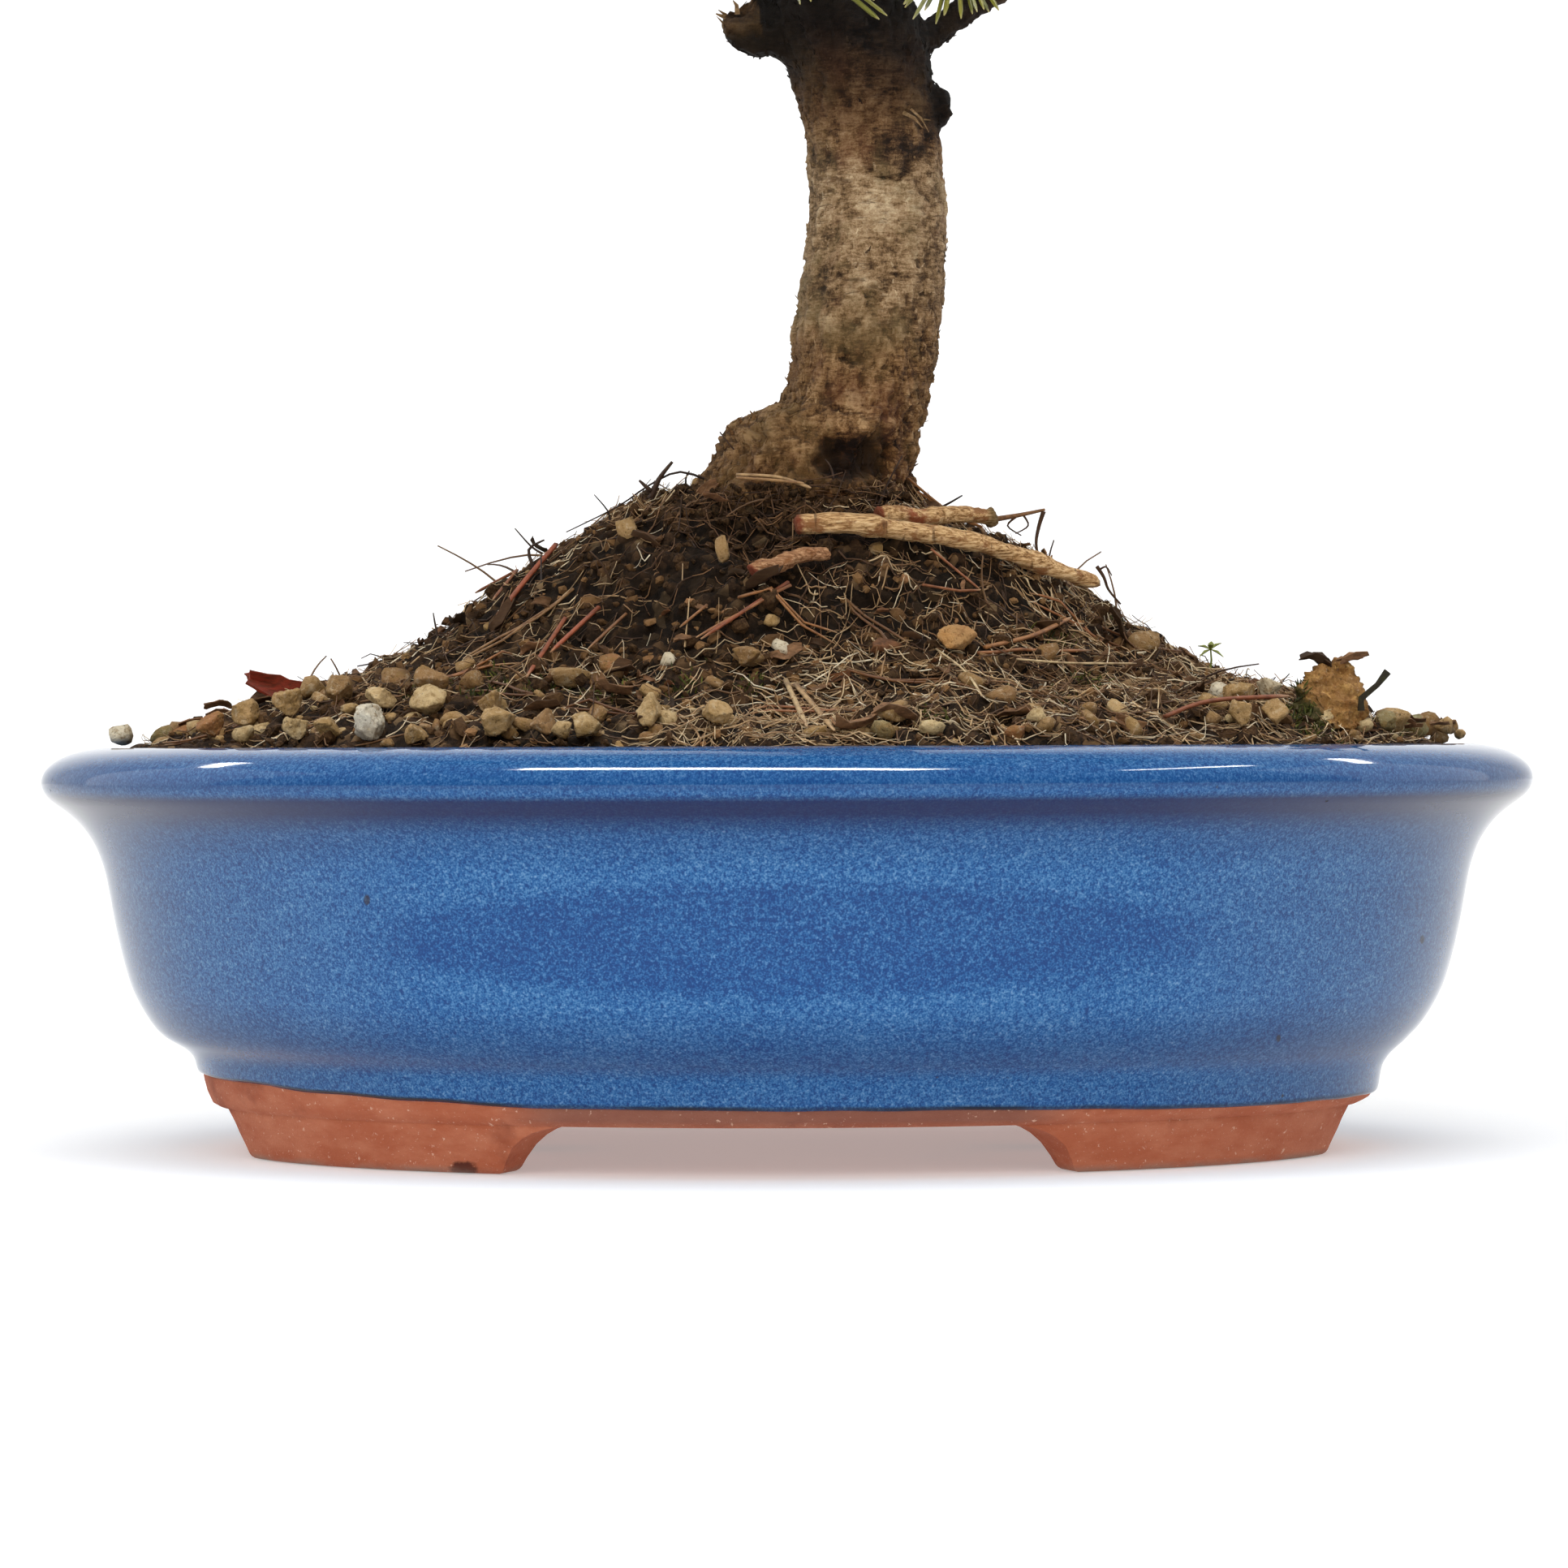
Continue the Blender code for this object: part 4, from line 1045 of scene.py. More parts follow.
gritPlan = {
    'stones': 330,
    'stoneSize': (0.001, 0.0036),
    'crumbs': 4700,
    'crumbSize': (0.0006, 0.002),
    'lumps': 400,
    'banked': 380,               # round the trunk's foot
    'leaning': 300,              # against its bark
    'foot': (-0.001, 0.035, 0.031),      # middle, half width and half depth of the trunk there
    'leanFront': (-0.0235, 0.0335),
    'leanHeight': 0.169,
    'lumpSize': (0.0016, 0.0036),
    'photoStones': (
        # x, y, height of the middle over the rim, half width, half height, colour draw
        (-0.1712, 0.005, 0.002, 0.0028, 0.003, 0.05), (-0.159, -0.008, 0.0022, 0.0034, 0.0028, 0.98),
        (-0.1525, -0.027, 0.0022, 0.003, 0.003, 0.88), (-0.08, -0.095, 0.0058, 0.0036, 0.002, 0.45),
        (-0.0535, -0.113, 0.003, 0.0026, 0.0022, 0.3), (-0.0401, -0.026, 0.0536, 0.0036, 0.0034, 0.44),
        (-0.0436, -0.0715, 0.019, 0.0036, 0.0028, 0.82), (-0.0159, -0.0475, 0.048, 0.0022, 0.0036, 0.46),
        (-0.0533, -0.0765, 0.0158, 0.0056, 0.0026, 0.5), (-0.0289, -0.0745, 0.0202, 0.0023, 0.0018, 0.07),
        (-0.0012, -0.0735, 0.0232, 0.0025, 0.0022, 0.06), (-0.0099, -0.077, 0.0204, 0.0044, 0.0022, 0.6),
        (-0.004, -0.0645, 0.0298, 0.002, 0.0016, 0.34), (-0.0795, -0.053, 0.0192, 0.0028, 0.0018, 0.52),
        (0.0445, -0.0845, 0.0146, 0.0036, 0.0024, 0.54), (0.0515, -0.0905, 0.0112, 0.004, 0.0024, 0.64),
        (0.0226, -0.1165, 0.0026, 0.003, 0.0024, 0.96), (0.034, -0.113, 0.0032, 0.0036, 0.0017, 0.2),
        (0.0539, -0.1105, 0.0018, 0.0026, 0.002, 0.86), (0.0617, -0.107, 0.0036, 0.0026, 0.0022, 0.5),
        (0.0899, -0.0285, 0.0236, 0.0044, 0.0042, 0.58), (0.1065, -0.0585, 0.0116, 0.0028, 0.0024, 0.04),
        (0.16, -0.012, 0.0034, 0.0034, 0.0032, 0.99), (0.1645, 0.004, 0.0036, 0.003, 0.004, 0.66),
        (0.168, 0.006, 0.0012, 0.0024, 0.0028, 0.5), (0.152, -0.03, 0.005, 0.004, 0.0032, 0.34),
        (0.1688, 0.0, 0.004, 0.0026, 0.0022, 0.4), (0.1716, 0.006, 0.0034, 0.002, 0.0018, 0.58),
        (0.1742, 0.01, 0.0016, 0.0018, 0.0013, 0.36), (-0.033, -0.089, 0.012, 0.003, 0.0022, 0.4),
        (-0.0176, -0.088, 0.0142, 0.0026, 0.0018, 0.62), (-0.098, -0.046, 0.016, 0.004, 0.003, 0.66),
        (-0.118, -0.042, 0.014, 0.004, 0.003, 0.48),
    ),
}


def scatterSpot(draw, reach=0.965):
    while True:
        x = draw.uniform(-1, 1) * reach
        y = draw.uniform(-1, 1) * reach
        if x * x + y * y < reach * reach:
            return x * soilPlan['moundWidth'], y * soilPlan['moundDepth']


def layGrit(ground, moulds):
    plan = gritPlan
    draw = random.Random(23)
    places = []
    for x, y, high, wide, tall, tint in plan['photoStones']:
        axes = Matrix.Diagonal((wide, wide * 0.85, tall)) @ turned(draw, 0.2)
        places.append((draw.randrange(len(moulds)), Vector((x, y, rimHeight + high)), axes, tint, 0.0))
    while len(places) < plan['stones']:
        x, y = scatterSpot(draw)
        share = moundShare(x, y)
        likely = 0.05 + 0.9 * max(0.0, share - 0.62) ** 1.5 / 0.25
        if x > 0.02 and share < 0.9:
            likely *= 0.5
        if draw.random() > likely or inHollow(x, y):
            continue
        low, high = plan['stoneSize']
        size = low + (high - low) * draw.random() ** 2.4
        spot, _ = ground.at(x, y)
        flat = draw.uniform(0.6, 0.95)
        tone = 0.16 + 0.56 * draw.random() if share > 0.8 else 0.38 + 0.4 * draw.random()
        axes = turned(draw, 0.3) @ Matrix.Diagonal((size, size * draw.uniform(0.7, 1), size * flat))
        places.append((draw.randrange(len(moulds)), spot + Vector((0, 0, size * 0.25)), axes, tone, 0.0))
    grit = copiesPiece('looseGrit', moulds, places)
    smoothFaces(grit)
    return placePiece(grit, 'looseGrit', stoneMaterial('looseGrit', 'pale'), 'pale_stone')


def crumbMould(seed):
    draw = random.Random(seed)
    letGo()
    bpy.ops.mesh.primitive_ico_sphere_add(subdivisions=1, radius=1.0)
    crumb = bpy.context.object
    for vertex in crumb.data.vertices:
        vertex.co *= 1 + draw.uniform(-0.3, 0.3)
    return crumb


def footSpot(draw, near, far):
    # a spot in the ring round the trunk's foot; 1 is the bark's own edge
    angle, reach = draw.uniform(0, fullTurn), draw.uniform(near, far)
    x, wide, deep = gritPlan['foot']
    return x + wide * reach * math.cos(angle), deep * reach * math.sin(angle)


def leaningSpot(draw, trunk):
    # a spot low on the trunk's front, where peat leans against the bark
    while True:
        x = draw.uniform(*gritPlan['leanFront'])
        high = gritPlan['leanHeight'] + 0.0016 * noise.noise(Vector((x * 150, 0, 3)))
        z = draw.uniform(barkPlan['foot'], high + (0.0022 if x > 0.022 else 0.0))
        spot, way, _, _ = trunk.tree.ray_cast(Vector((x, -0.2, z)), Vector((0, 1, 0)))
        if spot is not None and spot.y < 0.005:
            return spot, way


def layCrumbs(ground, trunk):
    plan = gritPlan
    draw = random.Random(31)
    moulds = [crumbMould(seed) for seed in (0, 1, 2, 3, 10, 11, 12, 13)]
    places = []
    for count, sizes, first in ((plan['crumbs'], plan['crumbSize'], 0), (plan['lumps'], plan['lumpSize'], 4)):
        for _ in range(count):
            x, y = scatterSpot(draw, 0.975)
            if inHollow(x, y):
                continue
            size = sizes[0] + (sizes[1] - sizes[0]) * draw.random() ** 1.6
            spot, normal = ground.at(x, y)
            spread = Matrix.Diagonal((size, size * draw.uniform(0.6, 1), size * draw.uniform(0.5, 0.9)))
            axes = turned(draw, 0.6) @ spread
            # painted shade: crumbs in and round the hollow at the trunk's foot are darker
            tone = draw.random() * (0.86 if first else 1.0) * (0.4 if inHollow(x, y, 3.6) else 1.0)
            places.append((first + draw.randrange(4), spot + normal * size * 0.15, axes, tone, 0.0))
    # more of them lie banked up round the trunk's foot
    for _ in range(plan['banked']):
        x, y = footSpot(draw, 0.88, 1.22)
        size = draw.uniform(0.0008, 0.002)
        spot, normal = ground.at(x, y)
        axes = turned(draw, 0.6) @ Matrix.Diagonal((size, size * 0.8, size * draw.uniform(0.5, 0.9)))
        spot = spot + normal * size * 0.3 + Vector((0, 0, draw.uniform(0.0, 0.0014)))
        places.append((draw.randrange(4), spot, axes, draw.random() * 0.62, 0.0))
    for _ in range(plan['leaning']):
        spot, way = leaningSpot(draw, trunk)
        size = draw.uniform(0.0007, 0.0017)
        axes = turned(draw, 0.6) @ Matrix.Diagonal((size, size * 0.8, size * draw.uniform(0.5, 0.9)))
        places.append((draw.randrange(4), spot + way * size * 0.4, axes, draw.random() * 0.66, 0.0))
    crumbs = copiesPiece('peatCrumbs', moulds, places)
    putAway(*moulds)
    material, tree, shader = newMaterial('peatCrumbs', 0.95, 0.12)
    tint = tintOf(tree)
    fine = noiseAt(tree, placeOf(tree), 1200.0, 3.0, 0.7)
    body = rampOf(tree, tint['Red'], (0.0, (22, 14, 8)), (0.5, (64, 44, 27)), (0.8, (106, 77, 48)),
                  (0.95, (144, 108, 70)), (1.0, (160, 116, 80)))
    body = veil(tree, body, (118, 90, 60), fine, (0.4, 0.0), (0.75, 0.5))
    tree.links.new(body, shader.inputs['Base Color'])
    bumpFrom(tree, shader, (fine, 0.8, 0.0006))
    return placePiece(crumbs, 'peatCrumbs', material, 'soil')


# Litter: fine roots, fallen needles, hair roots, chips of bark, moss and a seedling

litterPlan = {
    'fibres': 5200,
    'leaning': 130,
    'fibreLength': (0.004, 0.014),
    'fibreRadius': (0.0001, 0.00024),
    'roots': 2500,
    'rootLength': (0.009, 0.03),
    'rootRadius': (0.00014, 0.00034),
    'fallen': 32,
    'fallenLength': (0.026, 0.044),
    'hairs': 46,
    'chips': 240,
    'mossPatches': 29,
    'mossBlades': 46,
    'photoNeedles': (
        # colour draw, half width, then points as x, y and height over the rim: what shows at the front
        (0.97, 0.00085, ((-0.0587, -0.012, 0.0505), (-0.066, -0.024, 0.041), (-0.0733, -0.0335, 0.0308))),
        (0.86, 0.0006, ((-0.069, -0.003, 0.0442), (-0.0798, -0.003, 0.0384))),
        (0.8, 0.00055, ((-0.069, -0.004, 0.0442), (-0.0743, -0.022, 0.0362))),
        (0.97, 0.00075, ((-0.0466, -0.051, 0.0335), (-0.058, -0.064, 0.0222))),
        (0.92, 0.0007, ((-0.055, -0.049, 0.0308), (-0.0634, -0.0755, 0.016))),
        (0.9, 0.0007, ((0.0004, -0.057, 0.0394), (-0.021, -0.07, 0.0252))),
        (0.72, 0.0006, ((0.001, -0.0585, 0.0386), (-0.0222, -0.069, 0.0256))),
        (0.56, 0.0005, ((-0.0196, -0.06, 0.0338), (-0.0263, -0.0635, 0.0282))),
        (0.46, 0.0005, ((-0.0397, -0.055, 0.0318), (-0.0487, -0.0665, 0.023))),
        (0.09, 0.00065, ((-0.0125, -0.03, 0.0672), (-0.002, -0.033, 0.0664), (0.0062, -0.035, 0.0636))),
        (0.14, 0.00055, ((-0.0125, -0.031, 0.0664), (-0.003, -0.034, 0.0656), (0.0044, -0.035, 0.0648))),
        (0.78, 0.0005, ((0.0336, -0.0515, 0.0388), (0.0484, -0.0465, 0.0364))),
        (0.82, 0.0005, ((0.0361, -0.0405, 0.048), (0.0485, -0.045, 0.0374))),
        (0.6, 0.00085, ((0.0485, -0.066, 0.023), (0.061, -0.053, 0.0262), (0.0709, -0.0375, 0.0308))),
        (0.7, 0.00065, ((0.0466, -0.069, 0.0216), (0.0753, -0.05, 0.0224))),
        (0.88, 0.00085, ((0.091, -0.0885, 0.0058), (0.1026, -0.08, 0.0096), (0.1229, -0.066, 0.0108))),
        (0.04, 0.0007, ((-0.0004, -0.0875, 0.015), (0.0046, -0.1175, 0.0036))),
        (0.08, 0.0008, ((0.0021, -0.0905, 0.0138), (0.0111, -0.1185, 0.0026))),
        (0.0, 0.00035, ((0.0365, -0.0695, 0.0226), (0.043, -0.084, 0.017), (0.0468, -0.094, 0.0108))),
        (0.02, 0.0004, ((0.056, -0.07, 0.02), (0.07, -0.069, 0.019), (0.086, -0.06, 0.019))),
    ),
}


def surfaceRun(ground, draw, x, y, heading, length, pieces, curl, lift, rise=0.0):
    # a line that wanders over the surface and bridges its small dips
    places = []
    step = length / pieces
    bend = draw.gauss(0, curl * 0.5)
    for _ in range(pieces + 1):
        places.append((x, y, ground.at(x, y)[0].z))
        heading += bend + draw.gauss(0, curl)
        x += math.cos(heading) * step * 0.8
        y += math.sin(heading) * step * 0.8
        reach = math.hypot(x / soilPlan['halfWidth'], y / soilPlan['halfDepth'])
        if reach > 0.985:
            x *= 0.985 / reach
            y *= 0.985 / reach
    heights = [z for _, _, z in places]
    points = []
    for k, (px, py, z) in enumerate(places):
        around = heights[max(0, k - 1):k + 2]
        level = 0.5 * z + 0.5 * max(sum(around) / len(around), z - 0.001)
        share = k / pieces
        points.append(Vector((px, py, level + lift + rise * share * share)))
    return points


def spreadRootlets(ground, trunk):
    # short fibres everywhere, and a mat of longer pale roots that is thickest at the front right
    plan = litterPlan
    draw = random.Random(47)
    for name, count, lengths, widths, pieces, elsewhere in (
            ('fineFibres', plan['fibres'], plan['fibreLength'], plan['fibreRadius'], 4, 0.5),
            ('rootMat', plan['roots'], plan['rootLength'], plan['rootRadius'], 6, 0.2)):
        strands = []
        while len(strands) < count:
            x, y = scatterSpot(draw, 0.97)
            share = moundShare(x, y)
            likely = elsewhere
            if x > 0.0 and y < 0.03 and share > 0.36:
                likely = 1.0
            if share < 0.3:
                likely *= 0.8
            if x < -0.05 and share > 0.78:
                likely *= 0.8
            # the upper front is mostly dark peat, and dry strands drift up along the front rim
            bare = -0.045 < x < 0.064 and y < 0.0 and share < 0.6
            if bare:
                likely *= 0.8
            drift = len(strands) % 30 == 0
            if drift:
                x = draw.uniform(-0.026, 0.018)
                edge = draw.uniform(0.87, 0.975) ** 2 - (x / soilPlan['moundWidth']) ** 2
                y = -soilPlan['moundDepth'] * math.sqrt(edge)
            elif len(strands) % 14 == 1:
                # dark rootlets lie banked up round the trunk's foot
                x, y = footSpot(draw, 0.9, 1.3)
            elif draw.random() > likely or inHollow(x, y):
                continue
            length = lengths[0] + (lengths[1] - lengths[0]) * draw.random() ** 1.4
            if bare:
                length *= 0.6
            radius = widths[0] + (widths[1] - widths[0]) * draw.random() ** 1.6
            curl = draw.choice((0.03, 0.08, 0.16, 0.34))
            rise = draw.choice((0.0, 0.0, 0.0, 0.0012, 0.003))
            heading = draw.gauss(0.1, 0.8) + draw.choice((0, math.pi))
            lift = draw.uniform(0.0, 0.0009)
            points = surfaceRun(ground, draw, x, y, heading, length, pieces, curl, lift, rise)
            radii = tapered(radius, pieces, 0.5)
            tone = draw.random() ** (0.8 if x > 0 else 1.0)
            share = moundShare(x, y)
            if share < 0.34 or bare:
                tone *= 0.74 if draw.random() < 0.5 else 1.0
            # painted shade: strands in and round the hollow at the trunk's foot are darker
            if inHollow(x, y, 3.6):
                tone *= 0.5
            if drift:
                tone = draw.uniform(0.45, 0.95)
            strands.append((points, radii, tone, 0.0, Vector((0, 0, 1))))
        for _ in range(plan['leaning'] if name == 'fineFibres' else 0):
            spot, way = leaningSpot(draw, trunk)
            side = draw.choice((-1, 1)) if abs(spot.x - 0.005) < 0.017 else math.copysign(1, 0.005 - spot.x)
            run = Vector((side * draw.uniform(0.004, 0.011), 0, draw.gauss(-0.0005, 0.0014)))
            sag = Vector((0, -0.001, draw.uniform(-0.0012, 0.0008)))
            points = [spot + way * 0.0006 + run * (k / 4) + sag * k * (4 - k) / 4 for k in range(5)]
            strands.append((points, [0.00016] * 5, draw.random() * 0.5, 0.0, Vector((0, 0, 1))))
        roots = strandPiece(name, strands, 3)
        smoothFaces(roots)
        placePiece(roots, name, rootMaterial(name), 'root_wood')


def rootMaterial(name):
    stops = ((0.0, (40, 26, 16)), (0.22, (86, 59, 37)), (0.44, (138, 101, 66)), (0.7, (192, 157, 112)),
             (0.88, (224, 198, 156)), (1.0, (244, 230, 200)))
    return tintedMaterial(name, (0.7, 0.3), stops, (260.0, 2.0), ((0.42, 0.0), (0.68, 0.5)), (86, 56, 34))


def dropNeedles(ground):
    # dead needles fall in their pairs and rest across the crumbs
    plan = litterPlan
    draw = random.Random(53)
    strands = []
    for tone, radius, places in plan['photoNeedles']:
        line = []
        for x, y, high in curveThrough(places, 5):
            line.append(Vector((x, y, max(rimHeight + high, ground.at(x, y)[0].z + radius * 0.6))))
        radii = [radius] * (len(line) - 1) + [radius * 0.45]
        strands.append((line, radii, tone, 0.0, Vector((0, 0, 1))))
    while len(strands) < plan['fallen'] * 2:
        x, y = scatterSpot(draw, 0.9)
        if moundShare(x, y) < 0.22:
            continue
        length = draw.uniform(*plan['fallenLength'])
        heading = draw.gauss(0, 0.55) + draw.choice((0, math.pi))
        tone = draw.uniform(0.16, 0.74)
        for side in (-1, 1):
            points = surfaceRun(ground, draw, x, y, heading + side * 0.045, length, 6, 0.03, 0.001)
            tops = [point.z for point in points]
            for k in range(1, 6):
                points[k].z = max(points[k].z, (tops[k - 1] + tops[k + 1]) / 2)
            strands.append((points, [0.0005] * 6 + [0.00025], tone, 0.0, Vector((0, 0, 1))))
    needles = strandPiece('fallenNeedles', strands, 5, 0.7)
    smoothFaces(needles)
    material, tree, shader = newMaterial('fallenNeedles', 0.6, 0.3)
    tint = tintOf(tree)
    body = rampOf(tree, tint['Red'], (0.0, (208, 184, 140)), (0.12, (172, 132, 86)), (0.3, (96, 64, 38)),
                  (0.6, (156, 106, 62)), (0.8, (152, 96, 62)), (0.88, (138, 78, 48)), (1.0, (164, 82, 50)))
    streak = noiseAt(tree, placeOf(tree), 420.0, 3.0)
    body = veil(tree, body, (84, 46, 28), streak, (0.42, 0.0), (0.66, 0.6))
    body = veil(tree, body, (196, 160, 120), tint['Green'], (0.85, 0.0), (1.0, 0.6))
    tree.links.new(body, shader.inputs['Base Color'])
    placePiece(needles, 'fallenNeedles', material, 'needles')


def raiseHairs(ground):
    # thin dark roots that stand off the heap
    draw = random.Random(59)
    strands = []
    fixed = (
        # line of points as x, y and height over the rim, then root radius
        (((-0.018, -0.006, 0.066), (-0.027, -0.008, 0.069), (-0.035, -0.01, 0.0655),
          (-0.043, -0.012, 0.06), (-0.056, -0.014, 0.0535)), 0.00035),
        (((-0.0345, -0.01, 0.062), (-0.0325, -0.01, 0.067), (-0.029, -0.01, 0.0715)), 0.0009),
        (((-0.0345, -0.01, 0.064), (-0.0375, -0.01, 0.0668)), 0.0007),
        (((-0.045, -0.01, 0.056), (-0.0455, -0.01, 0.059), (-0.049, -0.01, 0.0632)), 0.0003),
        (((-0.062, -0.015, 0.048), (-0.065, -0.015, 0.05), (-0.069, -0.015, 0.0545)), 0.00035),
        (((-0.064, -0.015, 0.044), (-0.0655, -0.015, 0.049), (-0.0615, -0.015, 0.0515)), 0.00055),
        (((-0.088, -0.02, 0.025), (-0.089, -0.02, 0.03), (-0.0895, -0.02, 0.033)), 0.00035),
        (((0.031, -0.006, 0.056), (0.04, -0.007, 0.06), (0.045, -0.007, 0.0628)), 0.00045),
    )
    for line, radius in fixed:
        points = [Vector((x, y, rimHeight + high)) for x, y, high in curveThrough(line, 3)]
        radii = tapered(radius, len(points) - 1, 0.6)
        strands.append((points, radii, draw.random() * 0.4, 0.0, Vector((0, 1, 0))))
    for _ in range(litterPlan['hairs']):
        x, y = scatterSpot(draw, 0.75)
        spot, _ = ground.at(x, y)
        way = Vector((draw.gauss(0, 1), draw.gauss(0, 1), draw.uniform(0.5, 1.6))).normalized()
        length = draw.uniform(0.005, 0.016)
        bend = Vector((draw.gauss(0, 0.5), draw.gauss(0, 0.5), draw.gauss(-0.2, 0.3)))
        points = [spot + way * length * (k / 5) + bend * length * (k / 5) ** 2 for k in range(6)]
        radii = [0.00034 * (1 - 0.1 * k) for k in range(6)]
        strands.append((points, radii, draw.random(), 0.0, Vector((0, 1, 0))))
    hairs = strandPiece('hairRoots', strands, 4)
    smoothFaces(hairs)
    stops = ((0.0, (34, 24, 20)), (0.5, (66, 46, 34)), (1.0, (128, 96, 66)))
    material = tintedMaterial('hairRoots', (0.7, 0.3), stops, (600.0, 2.0), ((0.45, 0.0), (0.7, 0.4)),
                              (90, 66, 46))
    placePiece(hairs, 'hairRoots', material, 'root_wood')


def chipMould(seed):
    # a curled flake of bark or leaf: a small sheet, bent, torn at its edge and given a thickness
    draw = random.Random(seed)
    letGo()
    bpy.ops.mesh.primitive_grid_add(x_subdivisions=4, y_subdivisions=3, size=2)
    chip = bpy.context.object
    for vertex in chip.data.vertices:
        x, y = vertex.co.x, vertex.co.y
        pinch = 1 - 0.55 * abs(x) ** 2
        vertex.co.x = x + draw.uniform(-0.14, 0.14)
        vertex.co.y = y * 0.5 * pinch + draw.uniform(-0.07, 0.07)
        cup = 0.35 * y * y * draw.uniform(0.7, 1.3)
        vertex.co.z = cup + 0.22 * math.sin(x * 2 + seed) + draw.uniform(-0.05, 0.05)
    addModifier(chip, 'SOLIDIFY', thickness=0.08, offset=0.0)
    return chip


def layChips(ground):
    plan = litterPlan
    draw = random.Random(61)
    moulds = [chipMould(seed) for seed in range(6)]
    fixed = (
        # x, y, height over the rim, size, tilt, colour: leaf scraps that show at the front
        (-0.129, -0.025, 0.014, 0.0068, 0.2, 0.97), (-0.1335, -0.022, 0.015, 0.0042, 0.7, 0.99),
        (-0.0637, -0.002, 0.0502, 0.0028, 0.7, 0.05), (0.1314, -0.047, 0.0192, 0.004, 0.15, 0.16),
        (0.1398, -0.048, 0.0196, 0.003, -0.4, 0.62), (0.156, -0.025, 0.004, 0.0026, 0.2, 0.5),
        (0.158, -0.02, 0.003, 0.0026, 0.2, 0.5), (-0.042, -0.09, 0.013, 0.005, 0.4, 0.6),
        (-0.035, -0.032, 0.05, 0.0044, 0.6, 0.3), (0.083, -0.028, 0.029, 0.0044, 0.9, 0.12),
        (-0.143, -0.03, 0.009, 0.0034, 0.1, 0.45), (0.025, -0.113, 0.006, 0.005, 0.1, 0.5),
        (0.016, -0.115, 0.004, 0.006, 0.0, 0.58), (0.131, -0.049, 0.0186, 0.0048, 0.3, 0.1),
        (0.1404, -0.049, 0.0192, 0.004, -0.5, 0.66), (0.16, -0.015, 0.005, 0.0024, 0.3, 0.4),
        (0.17, 0.004, 0.0044, 0.0022, 0.2, 0.6), (0.1668, -0.006, 0.0036, 0.0024, -0.3, 0.55),
    )
    places = []
    for x, y, high, size, tilt, tone in fixed:
        axes = Matrix.Rotation(draw.uniform(-0.6, 0.6), 3, 'Z') @ Matrix.Rotation(tilt, 3, 'Y')
        if tone > 0.95:
            axes = axes @ Matrix.Rotation(1.1, 3, 'X')
        spot = Vector((x, y, rimHeight + high))
        places.append((draw.randrange(6), spot, axes @ Matrix.Diagonal((size,) * 3), tone, 0.0))
    while len(places) < plan['chips']:
        x, y = scatterSpot(draw, 0.93)
        if moundShare(x, y) < 0.16 or inHollow(x, y):
            continue
        spot, normal = ground.at(x, y)
        size = 0.0016 + 0.0034 * draw.random() ** 2
        axes = turned(draw, 0.5) @ Matrix.Diagonal((size,) * 3)
        places.append((draw.randrange(6), spot + normal * 0.0008, axes, 0.84 * draw.random(), 0.0))
    chips = copiesPiece('barkChips', moulds, places)
    putAway(*moulds)
    mergeDoubles(chips, 0.0)
    smoothFaces(chips, 60)
    material, tree, shader = newMaterial('barkChips', 0.8, 0.2)
    tint = tintOf(tree)
    veins = noiseAt(tree, placeOf(tree, (1, 1, 3)), 320.0, 4.0, 0.65)
    body = rampOf(tree, tint['Red'], (0.0, (44, 34, 22)), (0.3, (88, 62, 40)), (0.6, (156, 116, 82)),
                  (0.85, (120, 76, 46)), (0.95, (126, 46, 30)), (1.0, (150, 60, 40)))
    body = veil(tree, body, (58, 40, 26), veins, (0.42, 0.6), (0.62, 0.0))
    tree.links.new(body, shader.inputs['Base Color'])
    bumpFrom(tree, shader, (veins, 0.6, 0.0006))
    placePiece(chips, 'barkChips', material, 'bark')


def growMoss(ground):
    plan = litterPlan
    draw = random.Random(67)
    strands = []
    fixed = [(-0.073, -0.076), (-0.06, -0.08), (0.127, -0.06), (0.126, -0.052), (0.133, -0.064),
             (-0.09, -0.064), (0.148, -0.033), (-0.025, -0.086), (0.1268, -0.06), (0.1282, -0.059),
             (0.1275, -0.0575)]
    for number in range(plan['mossPatches']):
        if number < len(fixed):
            middle = fixed[number]
        else:
            middle = scatterSpot(draw, 0.9)
            if moundShare(*middle) < 0.5:
                middle = (middle[0] * 1.6, middle[1] * 1.6)
        for _ in range(plan['mossBlades']):
            x = middle[0] + draw.gauss(0, 0.003)
            y = middle[1] + draw.gauss(0, 0.0026)
            spot, normal = ground.at(x, y)
            stray = Vector((draw.gauss(0, 0.6), draw.gauss(0, 0.6), draw.gauss(0.3, 0.3)))
            way = (normal + stray).normalized()
            length = draw.uniform(0.001, 0.0026)
            if spot.z > rimHeight + 0.016 and x > 0.1:
                continue
            points = [spot - way * 0.0004, spot + way * length * 0.6, spot + way * length]
            strands.append((points, [0.00024, 0.0002, 0.00004], draw.random(), 0.0, Vector((0, 0, 1))))
    moss = strandPiece('mossTufts', strands, 3)
    stops = ((0.0, (34, 40, 16)), (0.5, (62, 70, 26)), (1.0, (104, 106, 44)))
    material = tintedMaterial('mossGreen', (0.8, 0.2), stops, (500.0, 2.0), ((0.4, 0.0), (0.7, 0.5)),
                              (70, 58, 24))
    placePiece(moss, 'mossTufts', material, 'needles')


